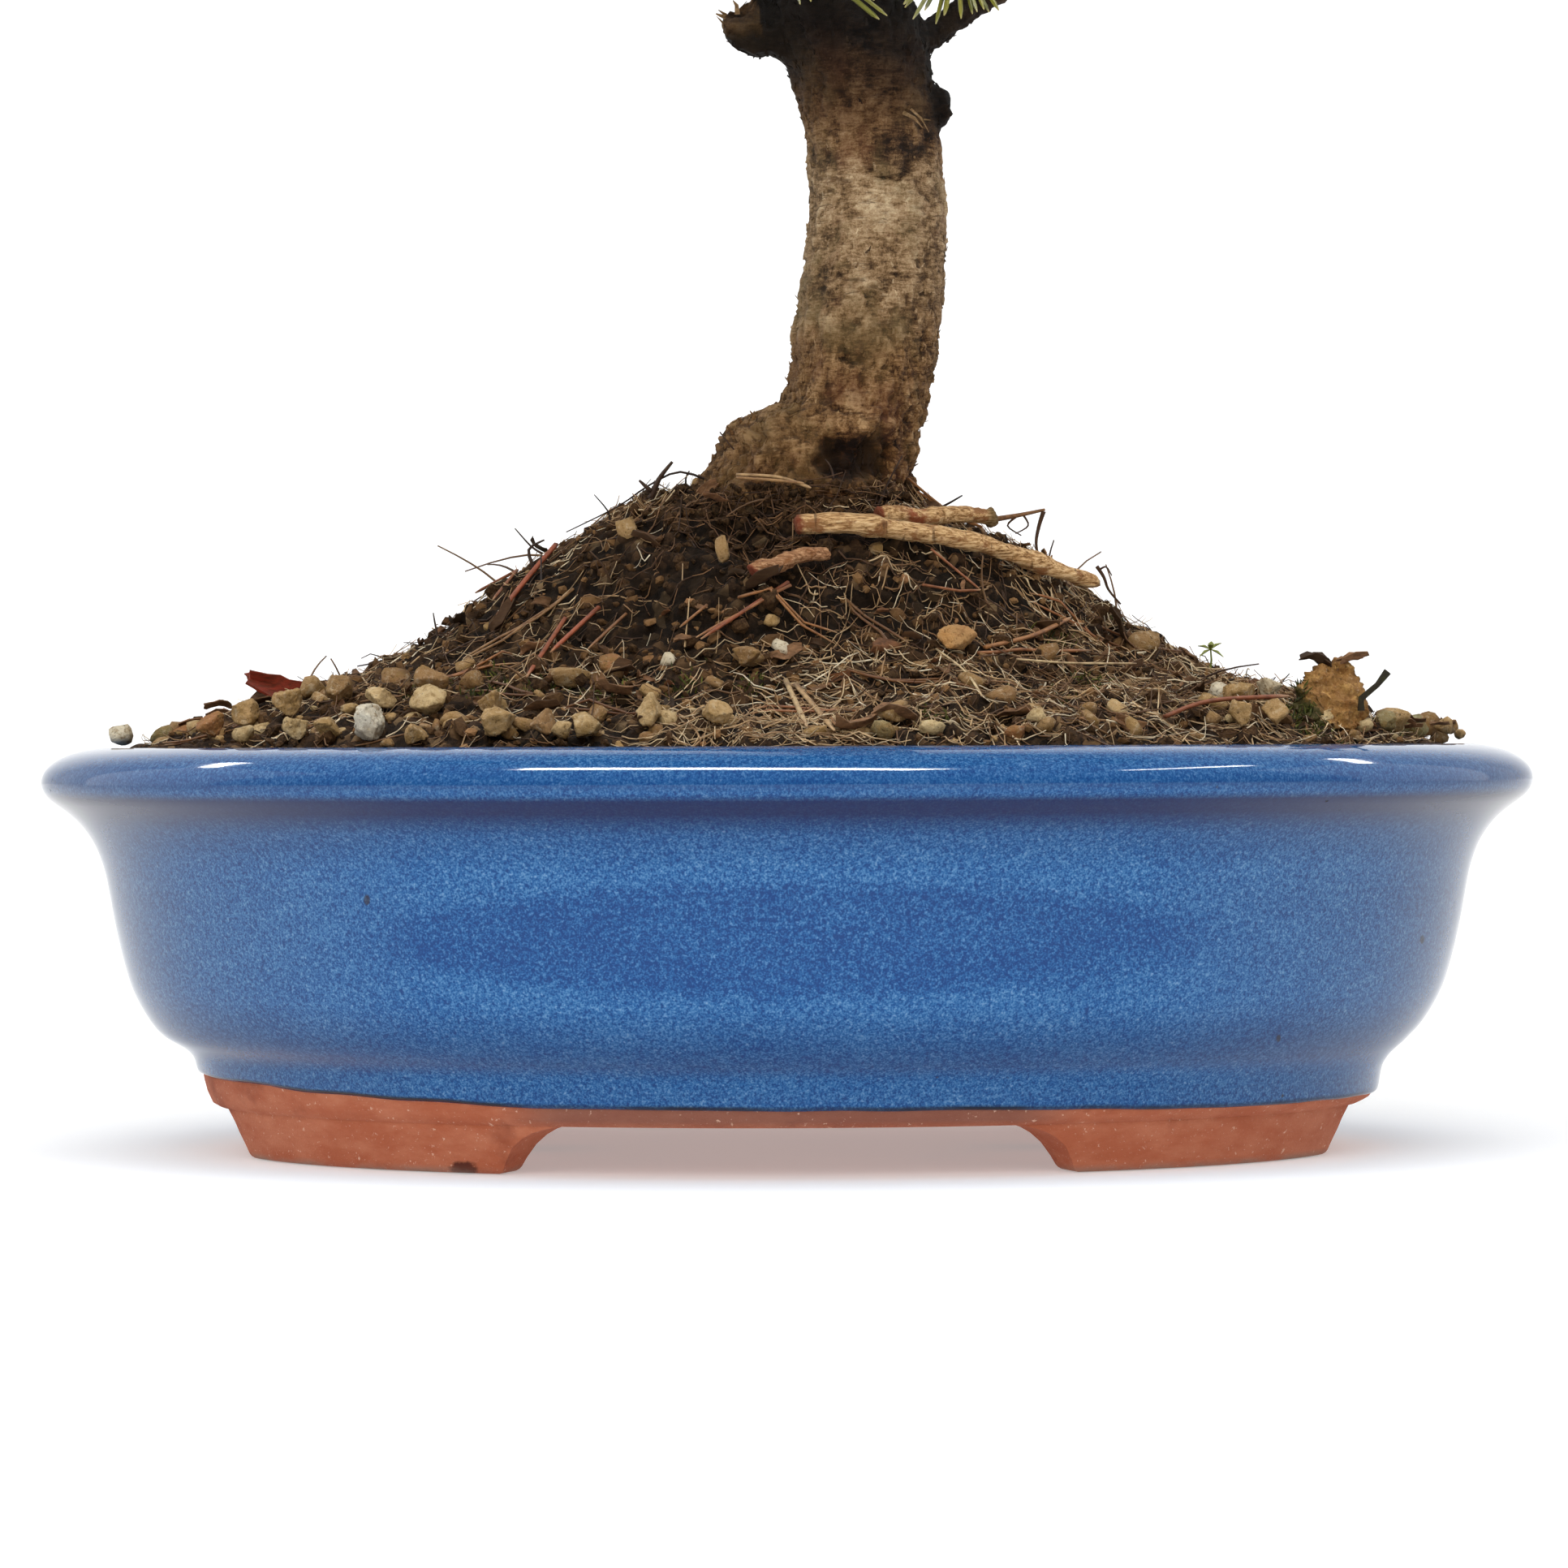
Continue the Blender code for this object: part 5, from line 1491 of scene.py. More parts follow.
def growSeedling(ground):
    # a weed seedling with a few leaflets, and the green end of a twig beside the rock
    strands = []
    root, _ = ground.at(0.1078, -0.0105)
    up = Vector((0, 0, 1))
    stalk = [root - up * 0.001, root + Vector((0.0004, 0, 0.0025)), root + Vector((0.0002, 0, 0.0052))]
    strands.append((stalk, [0.0003, 0.00026, 0.0002], 0.7, 0.0, Vector((0, 1, 0))))
    for compass, reach, rise in ((20, 0.003, 0.0016), (150, 0.0036, 0.0009), (265, 0.0022, 0.0012),
                                 (80, 0.002, 0.002), (200, 0.003, -0.0018), (340, 0.0034, -0.002)):
        way = Vector((math.cos(math.radians(compass)) * reach, math.sin(math.radians(compass)) * reach, rise))
        points = [stalk[2], stalk[2] + way * 0.5 + up * 0.0004, stalk[2] + way]
        strands.append((points, [0.00025, 0.0008, 0.0002], 0.9, 0.0, up))
    twigRoot = Vector((0.1421, -0.052, 0.1142))
    twig = [twigRoot - up * 0.003, twigRoot, twigRoot + Vector((0.004, -0.0003, 0.0034)),
            twigRoot + Vector((0.0066, 0.0, 0.0067))]
    strands.append((twig, [0.0009, 0.0008, 0.0007, 0.001], 0.1, 0.0, Vector((0, 1, 0))))
    weed = strandPiece('seedling', strands, 6, 0.45)
    smoothFaces(weed, 50)
    stops = ((0.0, (40, 32, 20)), (0.15, (44, 38, 22)), (0.5, (90, 98, 40)), (1.0, (142, 150, 66)))
    material = tintedMaterial('seedlingGreen', (0.6, 0.3), stops, (700.0, 2.0), ((0.5, 0.0), (0.7, 0.35)),
                              (76, 76, 34))
    placePiece(weed, 'seedling', material, 'needles')


# Trunk and limbs: the solid remeshed finer and given its bark

barkPlan = {
    'voxel': 0.0015,
    'foot': 0.16,                # where the trunk leaves the soil
    'fineBelow': 0.315,          # the trunk's own length is meshed finer than the limbs
    'trunkReach': 0.036,
    'fullness': 0.0004,          # given back after the smoothing
    'plates': 0.0009,
    'crust': 0.0011,
    'slivers': 0.0006,
    'rings': 0.0003,
    'stubTear': 0.002,
    # height, how coarse the bark is there
    'coarseness': ((0.1, 1.0), (0.185, 1.0), (0.215, 0.45), (0.25, 0.16), (0.27, 0.4), (0.6, 0.5)),
    # height, how much light comes there under the crown
    'crownShade': ((0.246, 1.0), (0.256, 0.8), (0.264, 0.54), (0.27, 0.38), (0.278, 0.22), (0.287, 0.09),
                   (0.3, 0.07), (0.32, 0.22), (0.36, 0.62), (0.7, 0.75)),
    'limbsFrom': (0.262, 0.0235),    # height, and how far off the trunk's middle
    'stubEdge': (
        # height, how far left the torn stub reaches
        (0.278, -0.006), (0.28, -0.0079), (0.2813, -0.0116), (0.2828, -0.0133), (0.2846, -0.0145),
        (0.2865, -0.0153), (0.29, -0.017), (0.2915, -0.015), (0.2925, -0.0118), (0.2944, -0.01),
        (0.299, -0.008),
    ),
    'waist': (
        # height, how far the left side is drawn in
        (0.16, 0.0), (0.17, 0.0014), (0.1745, 0.003), (0.179, 0.0024), (0.1845, -0.0012),
        (0.1872, -0.0006), (0.1905, 0.0028), (0.1955, 0.0024), (0.201, 0.001), (0.206, 0.0),
    ),
    'stubFloor': (
        # how far left, how low the torn stub hangs there
        (-0.017, 0.2845), (-0.0133, 0.2826), (-0.011, 0.2808), (-0.0079, 0.28), (-0.0041, 0.2808),
        (-0.001, 0.2796), (0.0008, 0.277),
    ),
    'knots': (
        # x, height, half width, half height, depth, kind
        (0.0262, 0.254, 0.0062, 0.0064, 0.0014, 'eye'),
        (0.0218, 0.2252, 0.0036, 0.0024, 0.0004, 'ring'),
        (0.0218, 0.2176, 0.0036, 0.0024, 0.0004, 'ring'),
        (0.0112, 0.253, 0.003, 0.0022, 0.0004, 'smudge'),
        (0.0166, 0.2009, 0.0032, 0.002, 0.001, 'smudge'),
        (0.0174, 0.1758, 0.0092, 0.0054, 0.0044, 'hollow'),
        (0.0098, 0.22, 0.0056, 0.0056, 0.0, 'dark'),
        (0.033, 0.258, 0.006, 0.006, 0.0, 'dark'),
        (0.0069, 0.2102, 0.0046, 0.004, 0.0, 'pale'),
        (-0.0077, 0.1804, 0.005, 0.003, 0.0, 'pale'),
        (0.0033, 0.1754, 0.0044, 0.0046, 0.0, 'pale'),
        (0.0188, 0.1898, 0.006, 0.0026, 0.0, 'pale'),
        (0.024, 0.24, 0.008, 0.007, 0.0, 'pale'),
    ),
    'flakes': 2400,
    'flakesBelow': 0.33,
    'flakesReach': 0.034,
    'flakeSize': (0.0005, 0.001, 0.002),
    'splinters': (
        # start and end of torn slivers as x, y, height, then the root's half width
        ((-0.014, -0.004, 0.288), (-0.017, -0.0045, 0.2914), 0.0007),
        ((-0.015, -0.0035, 0.2856), (-0.0174, -0.004, 0.2898), 0.0005),
        ((-0.012, -0.006, 0.29), (-0.0132, -0.0062, 0.2936), 0.0008),
        ((-0.011, -0.004, 0.2868), (-0.0176, -0.0045, 0.2904), 0.0013),
        ((0.03, -0.013, 0.264), (0.035, -0.014, 0.26), 0.0006),
        ((0.032, -0.012, 0.265), (0.0366, -0.013, 0.259), 0.0004),
        ((0.033, -0.008, 0.262), (0.0372, -0.0085, 0.2625), 0.0004),
        ((0.0388, -0.003, 0.248), (0.0408, -0.003, 0.2472), 0.0004),
        ((-0.011, -0.008, 0.183), (-0.0122, -0.0085, 0.1868), 0.0009),
        ((-0.013, -0.007, 0.18), (-0.0152, -0.0075, 0.1848), 0.0008),
        ((-0.008, -0.01, 0.185), (-0.0092, -0.0105, 0.1884), 0.0007),
        ((0.0046, -0.002, 0.271), (0.0028, -0.002, 0.2722), 0.0004),
    ),
}


def barkRelief(co, normal):
    # how far the bark stands out there, how light it is and how much it lies in the crown's shade
    plan = barkPlan
    x, y, z = co
    limbHeight, limbReach = plan['limbsFrom']
    limb = z > limbHeight and math.hypot(x - trunkX(z), y) > limbReach
    distances, _ = noise.voronoi(Vector((x * 190, y * 190, z * 120)))
    crack = max(0.0, 1 - (distances[1] - distances[0]) / 0.2)
    crust = noise.fractal(Vector((x * 230, y * 230, z * 170)), 0.7, 2.1, 4)
    sliver = 0.35 - abs(noise.noise(Vector((x * 340, y * 340, z * 640)))) * 1.6
    ring = noise.noise(Vector((x * 90 + 5, y * 90, z * 900)))
    broad = noise.noise(Vector((x * 60, y * 60, z * 45)))
    coarse = betweenStops(plan['coarseness'], z)
    if limb:
        coarse = 0.4
    out = plan['fullness'] - plan['plates'] * crack * coarse + plan['crust'] * crust * (0.25 + 0.75 * coarse)
    out += plan['slivers'] * sliver * (0.6 + 0.4 * coarse) + plan['rings'] * ring + 0.0009 * broad * coarse
    tone = 0.54 + 0.22 * sliver + 0.22 * crust + 0.1 * broad + 0.06 * ring - 0.22 * crack * coarse
    shade = betweenStops(plan['crownShade'], z + 0.005 * broad)
    beside = betweenStops(((0.034, 0.0), (0.0385, 1.0)), x)
    shade *= 1 - 0.75 * beside * betweenStops(((0.2555, 0.0), (0.262, 1.0), (0.276, 1.0), (0.282, 0.0)), z)
    if limb:
        shade = max(shade, 0.46 if x < 0 else betweenStops(((0.04, 0.14), (0.075, 0.4)), x))
        if x < 0 and z < 0.31:
            shade *= betweenStops(((0.2835, 0.45), (0.2865, 1.0), (0.4, 1.0)), z + 0.001 * crust)
            tear = noise.noise(Vector((x * 210, y * 210, z * 210)))
            spike = abs(noise.noise(Vector((x * 520, y * 520, z * 520))))
            ragged = held((-0.004 - x) / 0.006) if x > -0.03 else 0.0
            out += ragged * plan['stubTear'] * (tear + 0.8 * spike - 0.2)
            tone += ragged * (0.5 * tear - 0.1)
    if normal.y < 0.2 and not limb:
        for kx, kz, wide, high, deep, kind in plan['knots']:
            across, upward = (x - kx) / wide, (z - kz) / high
            away = math.hypot(across, upward)
            if away > 2.4:
                continue
            wobble = away * (1 + 0.35 * noise.noise(Vector((x * 260, y * 260, z * 260))))
            inside = math.exp(-wobble ** 4)
            if kind == 'eye':
                edge = math.exp(-((wobble - 1.0) / 0.16) ** 2) * (0.45 - 0.55 * upward / max(away, 0.2))
                out += deep * (0.5 * inside - edge)
                tone -= 0.3 * inside + 0.26 * edge
            elif kind == 'ring':
                wave = math.cos(wobble * 9) * math.exp(-wobble * 0.9)
                out += deep * wave
                tone += 0.09 * wave - 0.24 * math.exp(-(wobble / 0.4) ** 2)
            elif kind == 'smudge':
                out -= deep * inside
                tone -= 0.34 * math.exp(-wobble ** 2)
            elif kind == 'hollow':
                square = (abs(across) ** 3 + abs(upward) ** 3) ** (1 / 3)
                inside = math.exp(-(square * wobble / max(away, 0.1)) ** 6)
                out -= deep * inside
                # painted shade: the hollow's inside is darkened in tone as well as in shade
                tone -= 0.6 * inside
                shade *= 1 - 0.55 * inside
            else:
                tone += (0.22 if kind == 'pale' else -0.2) * inside
    return out, tone, shade


trunkLine = (
    # height over the rim, x and y of the trunk's middle
    (0.03, 0.003, 0.0), (0.064, 0.0033, 0.0), (0.071, 0.0045, 0.0), (0.079, 0.0092, 0.0),
    (0.087, 0.016, 0.0), (0.098, 0.0199, 0.0), (0.118, 0.0226, 0.001), (0.138, 0.0238, 0.002),
    (0.156, 0.0224, 0.002), (0.172, 0.0196, 0.001), (0.188, 0.015, 0.0), (0.214, 0.007, -0.003),
    (0.25, -0.004, -0.006), (0.29, -0.008, 0.0), (0.33, -0.002, 0.005), (0.362, 0.003, 0.004),
)


def trunkX(z):
    return betweenStops([(rimHeight + height, x) for height, x, _ in trunkLine], z)


def copyOfNode(node, name):
    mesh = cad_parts[node].data.copy()
    piece = bpy.data.objects.new(name, mesh)
    bpy.context.scene.collection.objects.link(piece)
    mergeDoubles(piece, 0.00002)
    return piece


def trimStub(co, normal):
    # the torn stub ends in a slant with a prong, and wood still rises from its top
    move = Vector((0, 0, 0))
    if not (co.x < 0.004 and 0.272 < co.z < 0.3 and abs(co.y) < 0.016):
        return move
    floor = betweenStops(barkPlan['stubFloor'], co.x) + 0.0008 * noise.noise(co * 420)
    if co.x < 0.0008 and co.z < min(floor, 0.287) and normal.z < 0.4:
        move.z = (floor - co.z) * 0.85
    if co.z < 0.2775:
        return move
    edge = betweenStops(barkPlan['stubEdge'], co.z) + 0.0008 * noise.noise(co * 600)
    if co.x < edge:
        move.x = (edge - co.x) * 0.88
    if normal.z > 0 and co.z > 0.286:
        move.z = 0.006 * math.exp(-((co.x + 0.0035) / 0.005) ** 2) * normal.z
    return move


def waistIn(co):
    # the foot flares in a ledge on its left: drawn in above it and below it
    if co.z > 0.207:
        return 0.0
    return betweenStops(barkPlan['waist'], co.z) * held((trunkX(co.z) - co.x) / 0.018)


def flakeMould(seed):
    # a sliver of bark: a box drawn out to a ragged wedge and bowed
    draw = random.Random(seed)
    letGo()
    bpy.ops.mesh.primitive_cube_add(size=2)
    flake = bpy.context.object
    bpy.ops.object.mode_set(mode='EDIT')
    pickVertices(flake, lambda vertex: vertex.co.z > 0)
    bpy.ops.transform.resize(value=(0.45, 0.3, 1), center_override=(0, 0, 0))
    bpy.ops.transform.translate(value=(draw.uniform(-0.5, 0.5), 0.8, 0))
    letGo()
    for vertex in flake.data.vertices:
        vertex.co += Vector((draw.uniform(-0.3, 0.3), draw.uniform(-0.1, 0.1), draw.uniform(-0.25, 0.25)))
    return flake


def layFlakes(trunk, bark):
    # small scales of bark stand off the trunk, thickest at its foot
    plan = barkPlan
    draw = random.Random(83)
    moulds = [flakeMould(seed) for seed in range(5)]
    mesh = trunk.data
    paints = mesh.color_attributes['tint'].data
    faces = []
    for face in mesh.polygons:
        x, y, z = face.center
        if plan['foot'] < z < plan['flakesBelow'] and math.hypot(x - trunkX(z), y) < plan['flakesReach']:
            faces.append(face)
    places, tints = [], []
    thin, wide, tall = plan['flakeSize']
    while len(places) < plan['flakes']:
        face = faces[draw.randrange(len(faces))]
        foot = held((0.245 - face.center.z) / 0.06)
        if draw.random() > 0.35 + 0.65 * foot:
            continue
        out = face.normal.copy()
        up = (Vector((draw.gauss(0, 0.22), draw.gauss(0, 0.22), 1.0)) - out * out.z).normalized()
        out = (out + up * draw.uniform(-0.5, 0.3)).normalized()
        side = up.cross(out).normalized()
        up = out.cross(side)
        size = draw.uniform(0.35, 1.0)
        axes = Matrix((side * wide * size * 0.5, out * thin * 0.35, up * tall * size * 0.5)).transposed()
        places.append((draw.randrange(5), face.center + face.normal * 0.0001, axes, 0.0, 0.0))
        near = paints[face.vertices[0]].color
        tints.append((held(near[0] + draw.gauss(0.02, 0.13)), near[1]))
    flakes = copiesPiece('barkFlakes', moulds, places)
    each = len(moulds[0].data.vertices)
    for number, paint in enumerate(flakes.data.color_attributes['tint'].data):
        tone, shade = tints[number // each]
        paint.color = (tone, shade, 0.0, 1.0)
    putAway(*moulds)
    placePiece(flakes, 'barkFlakes', bark, 'bark')


def dressTrunk():
    plan = barkPlan
    trunk = copyOfNode('trunk', 'trunkAndLimbs')
    addModifier(trunk, 'REMESH', mode='VOXEL', voxel_size=plan['voxel'])
    addModifier(trunk, 'SMOOTH', factor=0.5, iterations=7)
    pickUp(trunk)
    bpy.ops.object.mode_set(mode='EDIT')
    bpy.ops.mesh.select_mode(type='FACE')
    bpy.ops.mesh.select_all(action='DESELECT')
    shape = bmesh.from_edit_mesh(trunk.data)
    for face in shape.faces:
        middle = face.calc_center_median()
        close = math.hypot(middle.x - trunkX(middle.z), middle.y) < plan['trunkReach']
        face.select = plan['foot'] < middle.z < plan['fineBelow'] and close
    bmesh.update_edit_mesh(trunk.data)
    bpy.ops.mesh.subdivide(number_cuts=1, smoothness=0.0)
    letGo()
    mesh = trunk.data
    layer = mesh.color_attributes.new('tint', 'FLOAT_COLOR', 'POINT')
    moves = []
    for vertex in mesh.vertices:
        out, tone, shade = barkRelief(vertex.co, vertex.normal)
        moves.append((vertex.normal * out, tone, shade))
    for vertex, paint, (move, tone, shade) in zip(mesh.vertices, layer.data, moves):
        vertex.co += move
        vertex.co += trimStub(vertex.co, vertex.normal)
        vertex.co.x += waistIn(vertex.co)
        paint.color = (held(tone), shade, 0.0, 1.0)
    mesh.update()
    smoothFaces(trunk)
    bark = barkMaterial()
    layFlakes(trunk, bark)
    placePiece(trunk, 'trunkAndLimbs', bark, 'bark', 'trunk')
    strands = []
    for start, end, radius in plan['splinters']:
        start, end = Vector(start), Vector(end)
        bow = Vector((0.0004, 0.0, 0.0005))
        line = [start, start.lerp(end, 0.5) + bow, end]
        strands.append((line, [radius, radius * 0.7, radius * 0.15], 0.7, 0.0, Vector((0, 1, 0))))
    splinters = strandPiece('barkSplinters', strands, 5, 0.5)
    for paint in splinters.data.color_attributes['tint'].data:
        paint.color = (0.62, 0.75, 0.0, 1.0)
    placePiece(splinters, 'barkSplinters', bark, 'bark')


def barkMaterial():
    material, tree, shader = newMaterial('pineBark', 0.88, 0.25)
    place = placeOf(tree)
    parts = partsOf(tree)
    tint = tintOf(tree)
    upright = noiseAt(tree, placeOf(tree, (1, 1, 0.56)), 1350.0, 4.0, 0.7, 0.5)
    cross = noiseAt(tree, placeOf(tree, (0.42, 0.42, 1.5)), 800.0, 4.0, 0.7, 0.6)
    rugged = noiseAt(tree, placeOf(tree, (1, 1, 0.8)), 300.0, 5.0, 0.7, 0.5)
    level = noiseAt(tree, placeOf(tree, (0.28, 0.28, 1.6)), 430.0, 4.0, 0.65, 1.0)
    patch = noiseAt(tree, place, 85.0, 4.0, 0.65)
    speck = noiseAt(tree, place, 2300.0, 3.0, 0.7)
    tone = tint['Red']
    for pattern, weight in ((upright, 0.62), (speck, 0.55), (cross, 1.1)):
        tone = swayed(tree, tone, pattern, weight)
    # the foot is rougher, with paler scales between dark clefts
    lower = rampOf(tree, parts['Z'], (0.188, 1.0), (0.222, 0.18))
    scales = product(tree, mathOf(tree, 'SUBTRACT', rugged, 0.5), 1.5)
    tone = mathOf(tree, 'MULTIPLY_ADD', scales, lower, tone)
    body = rampOf(tree, tone, (0.06, (40, 29, 20)), (0.28, (92, 71, 50)), (0.46, (142, 115, 84)),
                  (0.64, (178, 152, 120)), (0.95, (220, 200, 168)))
    # wrinkles across the grain, only in places
    wrinkle = product(tree, rampOf(tree, level, (0.38, 1.0), (0.45, 0.0)),
                      rampOf(tree, patch, (0.38, 0.0), (0.54, 0.7)))
    body = mixColours(tree, wrinkle, body, (78, 56, 38))
    ruddy = noiseAt(tree, place, 60.0, 3.0, 0.6)
    body = veil(tree, body, (128, 88, 68), ruddy, (0.52, 0.0), (0.66, 0.45))
    greenish = noiseAt(tree, placeOf(tree, (1, 1, 0.8)), 70.0, 4.0)
    body = veil(tree, body, (118, 106, 74), greenish, (0.5, 0.0), (0.64, 0.5))
    side = rampOf(tree, mathOf(tree, 'MULTIPLY_ADD', parts['X'], 20.0, 0.2), (0.2, 0.35), (0.48, 0.0))
    body = mixColours(tree, side, body, (112, 98, 68))
    # warmer and darker at the foot, and shaded where the limbs leave
    height = product(tree, parts['Z'], 2.0)
    waver = product(tree, mathOf(tree, 'SUBTRACT', patch, 0.5), 0.05)
    waver = mathOf(tree, 'ADD', height, waver)
    foot = rampOf(tree, waver, (0.34, (208, 180, 148)), (0.4, (216, 196, 170)), (0.44, (238, 230, 218)),
                  (0.5, (248, 244, 236)))
    body = mixColours(tree, 1.0, body, foot, 'MULTIPLY')
    gloom = rampOf(tree, tint['Green'], (0.0, 0.0), (0.2, (66, 58, 52)), (0.35, (118, 104, 92)),
                   (0.55, (168, 150, 134)), (0.75, (214, 200, 186)), (1.0, 1.0))
    body = mixColours(tree, 1.0, body, gloom, 'MULTIPLY')
    twig = rampOf(tree, height, (0.6, 0.0), (0.75, 0.7))
    twigColour = mixColours(tree, upright, (70, 50, 36), (128, 92, 62))
    body = mixColours(tree, twig, body, twigColour)
    tree.links.new(body, shader.inputs['Base Color'])
    bumpFrom(tree, shader, (upright, 0.6, 0.0006), (level, 0.7, 0.0005), (cross, 0.6, 0.0005))
    return material


# Dead root sticks on the heap

stickPlan = {
    'root_stick_long': {
        'name': 'longRootStick',
        'line': ((0.002, -0.041, -0.0013), (0.024, -0.04, -0.0007), (0.05, -0.034, 0.001),
                 (0.079, -0.026, 0.007)),
        'radii': (0.0025, 0.0018), 'knobs': ((0.3, 0.25), (0.62, 0.2), (0.8, 0.3)),
    },
    'root_stick_short': {
        'name': 'shortRootStick',
        'line': ((0.023, -0.0345, -0.0022), (0.038, -0.0275, 0.0008), (0.053, -0.021, 0.0047)),
        'radii': (0.0024, 0.0018), 'knobs': ((0.45, 0.2), (0.93, 0.45)),
    },
    'root_stick_broken': {
        'name': 'brokenRootStick',
        'line': ((-0.0084, -0.0575, 0), (0.0005, -0.0535, 0), (0.0105, -0.049, 0)),
        'radii': (0.0021, 0.0015), 'knobs': ((0.5, 0.2),),
    },
}


def plainMound(x, y):
    # the heap's height as the solid has it, which is what the sticks lie on
    plan = soilPlan
    share = min(1.0, moundShare(x, y))
    scale, lump = plan['lumps']
    lump *= noise.noise(Vector((x * scale, y * scale, 0)))
    return rimHeight + betweenStops(plan['mound'], share) + lump


def laySticks():
    for node, plan in stickPlan.items():
        first, last = plan['radii']
        count = len(plan['line']) - 1
        line = []
        for k, (x, y, lift) in enumerate(plan['line']):
            radius = first + (last - first) * k / count
            line.append((x, y, plainMound(x, y) + radius + lift, radius))
        fine = curveThrough(line, 34)
        strand = []
        radii = []
        for k, (x, y, z, radius) in enumerate(fine):
            share = k / (len(fine) - 1)
            knob = sum(size * math.exp(-((share - at) / 0.035) ** 2) for at, size in plan['knobs'])
            wobble = 0.1 * noise.noise(Vector((share * 9, 2.0, first * 900)))
            endReflection = min(1.0, 0.55 + share * 30, 0.35 + (1 - share) * 26)
            strand.append(Vector((x, y, z + 0.0004 * math.sin(share * 12))))
            radii.append(radius * (1.06 + knob + wobble) * endReflection)
        name = plan['name']
        stick = strandPiece(name, [(strand, radii, 0.5, 0.0, Vector((0, 0, 1)))], 24)
        for vertex in stick.data.vertices:
            x, y, z = vertex.co
            fibre = noise.noise(Vector((x * 110, y * 620, z * 620)))
            groove = abs(noise.noise(Vector((x * 150, y * 1200, z * 1200))))
            flake = noise.noise(Vector((x * 300 + 3, y * 300, z * 300)))
            vertex.co += vertex.normal * (0.00036 * fibre - 0.0005 * groove + 0.00034 * flake + 0.0001)
        stick.data.update()
        smoothFaces(stick)
        placePiece(stick, name, stickMaterial(name), 'root_wood', node)


def stickMaterial(name):
    material, tree, shader = newMaterial(name, 0.85, 0.2)
    tint = tintOf(tree)
    fibre = noiseAt(tree, placeOf(tree, (0.16, 1, 1)), 1700.0, 4.0, 0.65)
    scale = noiseAt(tree, placeOf(tree, (0.7, 1, 1)), 260.0, 4.0, 0.65)
    ringed = noiseAt(tree, placeOf(tree, (1.5, 0.3, 0.3)), 330.0, 3.0, 0.6)
    if name == 'brokenRootStick':
        body = rampOf(tree, fibre, (0.32, (88, 54, 34)), (0.45, (142, 98, 66)), (0.57, (182, 136, 96)),
                      (0.74, (222, 186, 144)))
    else:
        body = rampOf(tree, fibre, (0.34, (98, 64, 38)), (0.44, (168, 126, 80)), (0.55, (212, 174, 124)),
                      (0.76, (238, 212, 168)))
    body = veil(tree, body, (136, 88, 52), scale, (0.38, 0.85), (0.46, 0.0))
    body = veil(tree, body, (84, 56, 36), ringed, (0.3, 0.7), (0.36, 0.0))
    # the cut end is dark red brown, and the short stick's knob is mossy
    along = swayed(tree, tint['Green'], scale, 0.1)
    body = veil(tree, body, (116, 52, 34), along, (0.03, 0.9), (0.055, 0.0))
    if name == 'shortRootStick':
        body = veil(tree, body, (84, 70, 42), along, (0.84, 0.0), (0.9, 0.75))
        patch = rampOf(tree, along, (0.22, 0.0), (0.27, 0.8), (0.36, 0.8), (0.42, 0.0))
        patch = product(tree, patch, rampOf(tree, scale, (0.48, 1.0), (0.56, 0.0)))
        body = mixColours(tree, patch, body, (138, 66, 40))
    tree.links.new(body, shader.inputs['Base Color'])
    bumpFrom(tree, shader, (fibre, 0.7, 0.0005), (scale, 0.6, 0.0007), (ringed, 0.4, 0.0004))
    return material


def hangTwigs():
    # thin side roots that still hang on the sticks
    lines = (
        # line of points as x, y and height over the rim, then root radius and colour draw
        (((0.0782, -0.026, 0.044), (0.08, -0.026, 0.0412), (0.0812, -0.026, 0.038),
          (0.0842, -0.026, 0.0344)), 0.0005, 0.1),
        (((0.079, -0.026, 0.0432), (0.0806, -0.026, 0.0438), (0.082, -0.026, 0.0416)), 0.0003, 0.1),
        (((0.052, -0.021, 0.056), (0.059, -0.02, 0.0572), (0.0655, -0.019, 0.0586)), 0.00075, 0.5),
        (((0.0652, -0.019, 0.0582), (0.064, -0.019, 0.0545), (0.0632, -0.02, 0.05),
          (0.064, -0.021, 0.0455)), 0.0006, 0.1),
        (((0.0585, -0.02, 0.057), (0.056, -0.02, 0.0545), (0.0595, -0.02, 0.052)), 0.00032, 0.1),
        (((0.06, -0.02, 0.0572), (0.0612, -0.02, 0.0545), (0.058, -0.02, 0.0525)), 0.0003, 0.1),
        (((0.066, -0.029, 0.044), (0.0668, -0.029, 0.0468)), 0.0004, 0.6),
    )
    strands = []
    for line, radius, tone in lines:
        points = [Vector((x, y, rimHeight + high)) for x, y, high in curveThrough(line, 4)]
        radii = tapered(radius, len(points) - 1, 0.55)
        strands.append((points, radii, tone, 0.0, Vector((0, 1, 0))))
    twigs = strandPiece('hangingTwigs', strands, 6)
    smoothFaces(twigs)
    stops = ((0.0, (46, 30, 22)), (0.5, (134, 96, 64)), (1.0, (170, 132, 92)))
    material = tintedMaterial('hangingTwigs', (0.8, 0.2), stops, (700.0, 3.0), ((0.4, 0.6), (0.6, 0.0)),
                              (60, 40, 28))
    placePiece(twigs, 'hangingTwigs', material, 'root_wood')


# Needles: shoots set on the limb tips, each ringed by paired needles

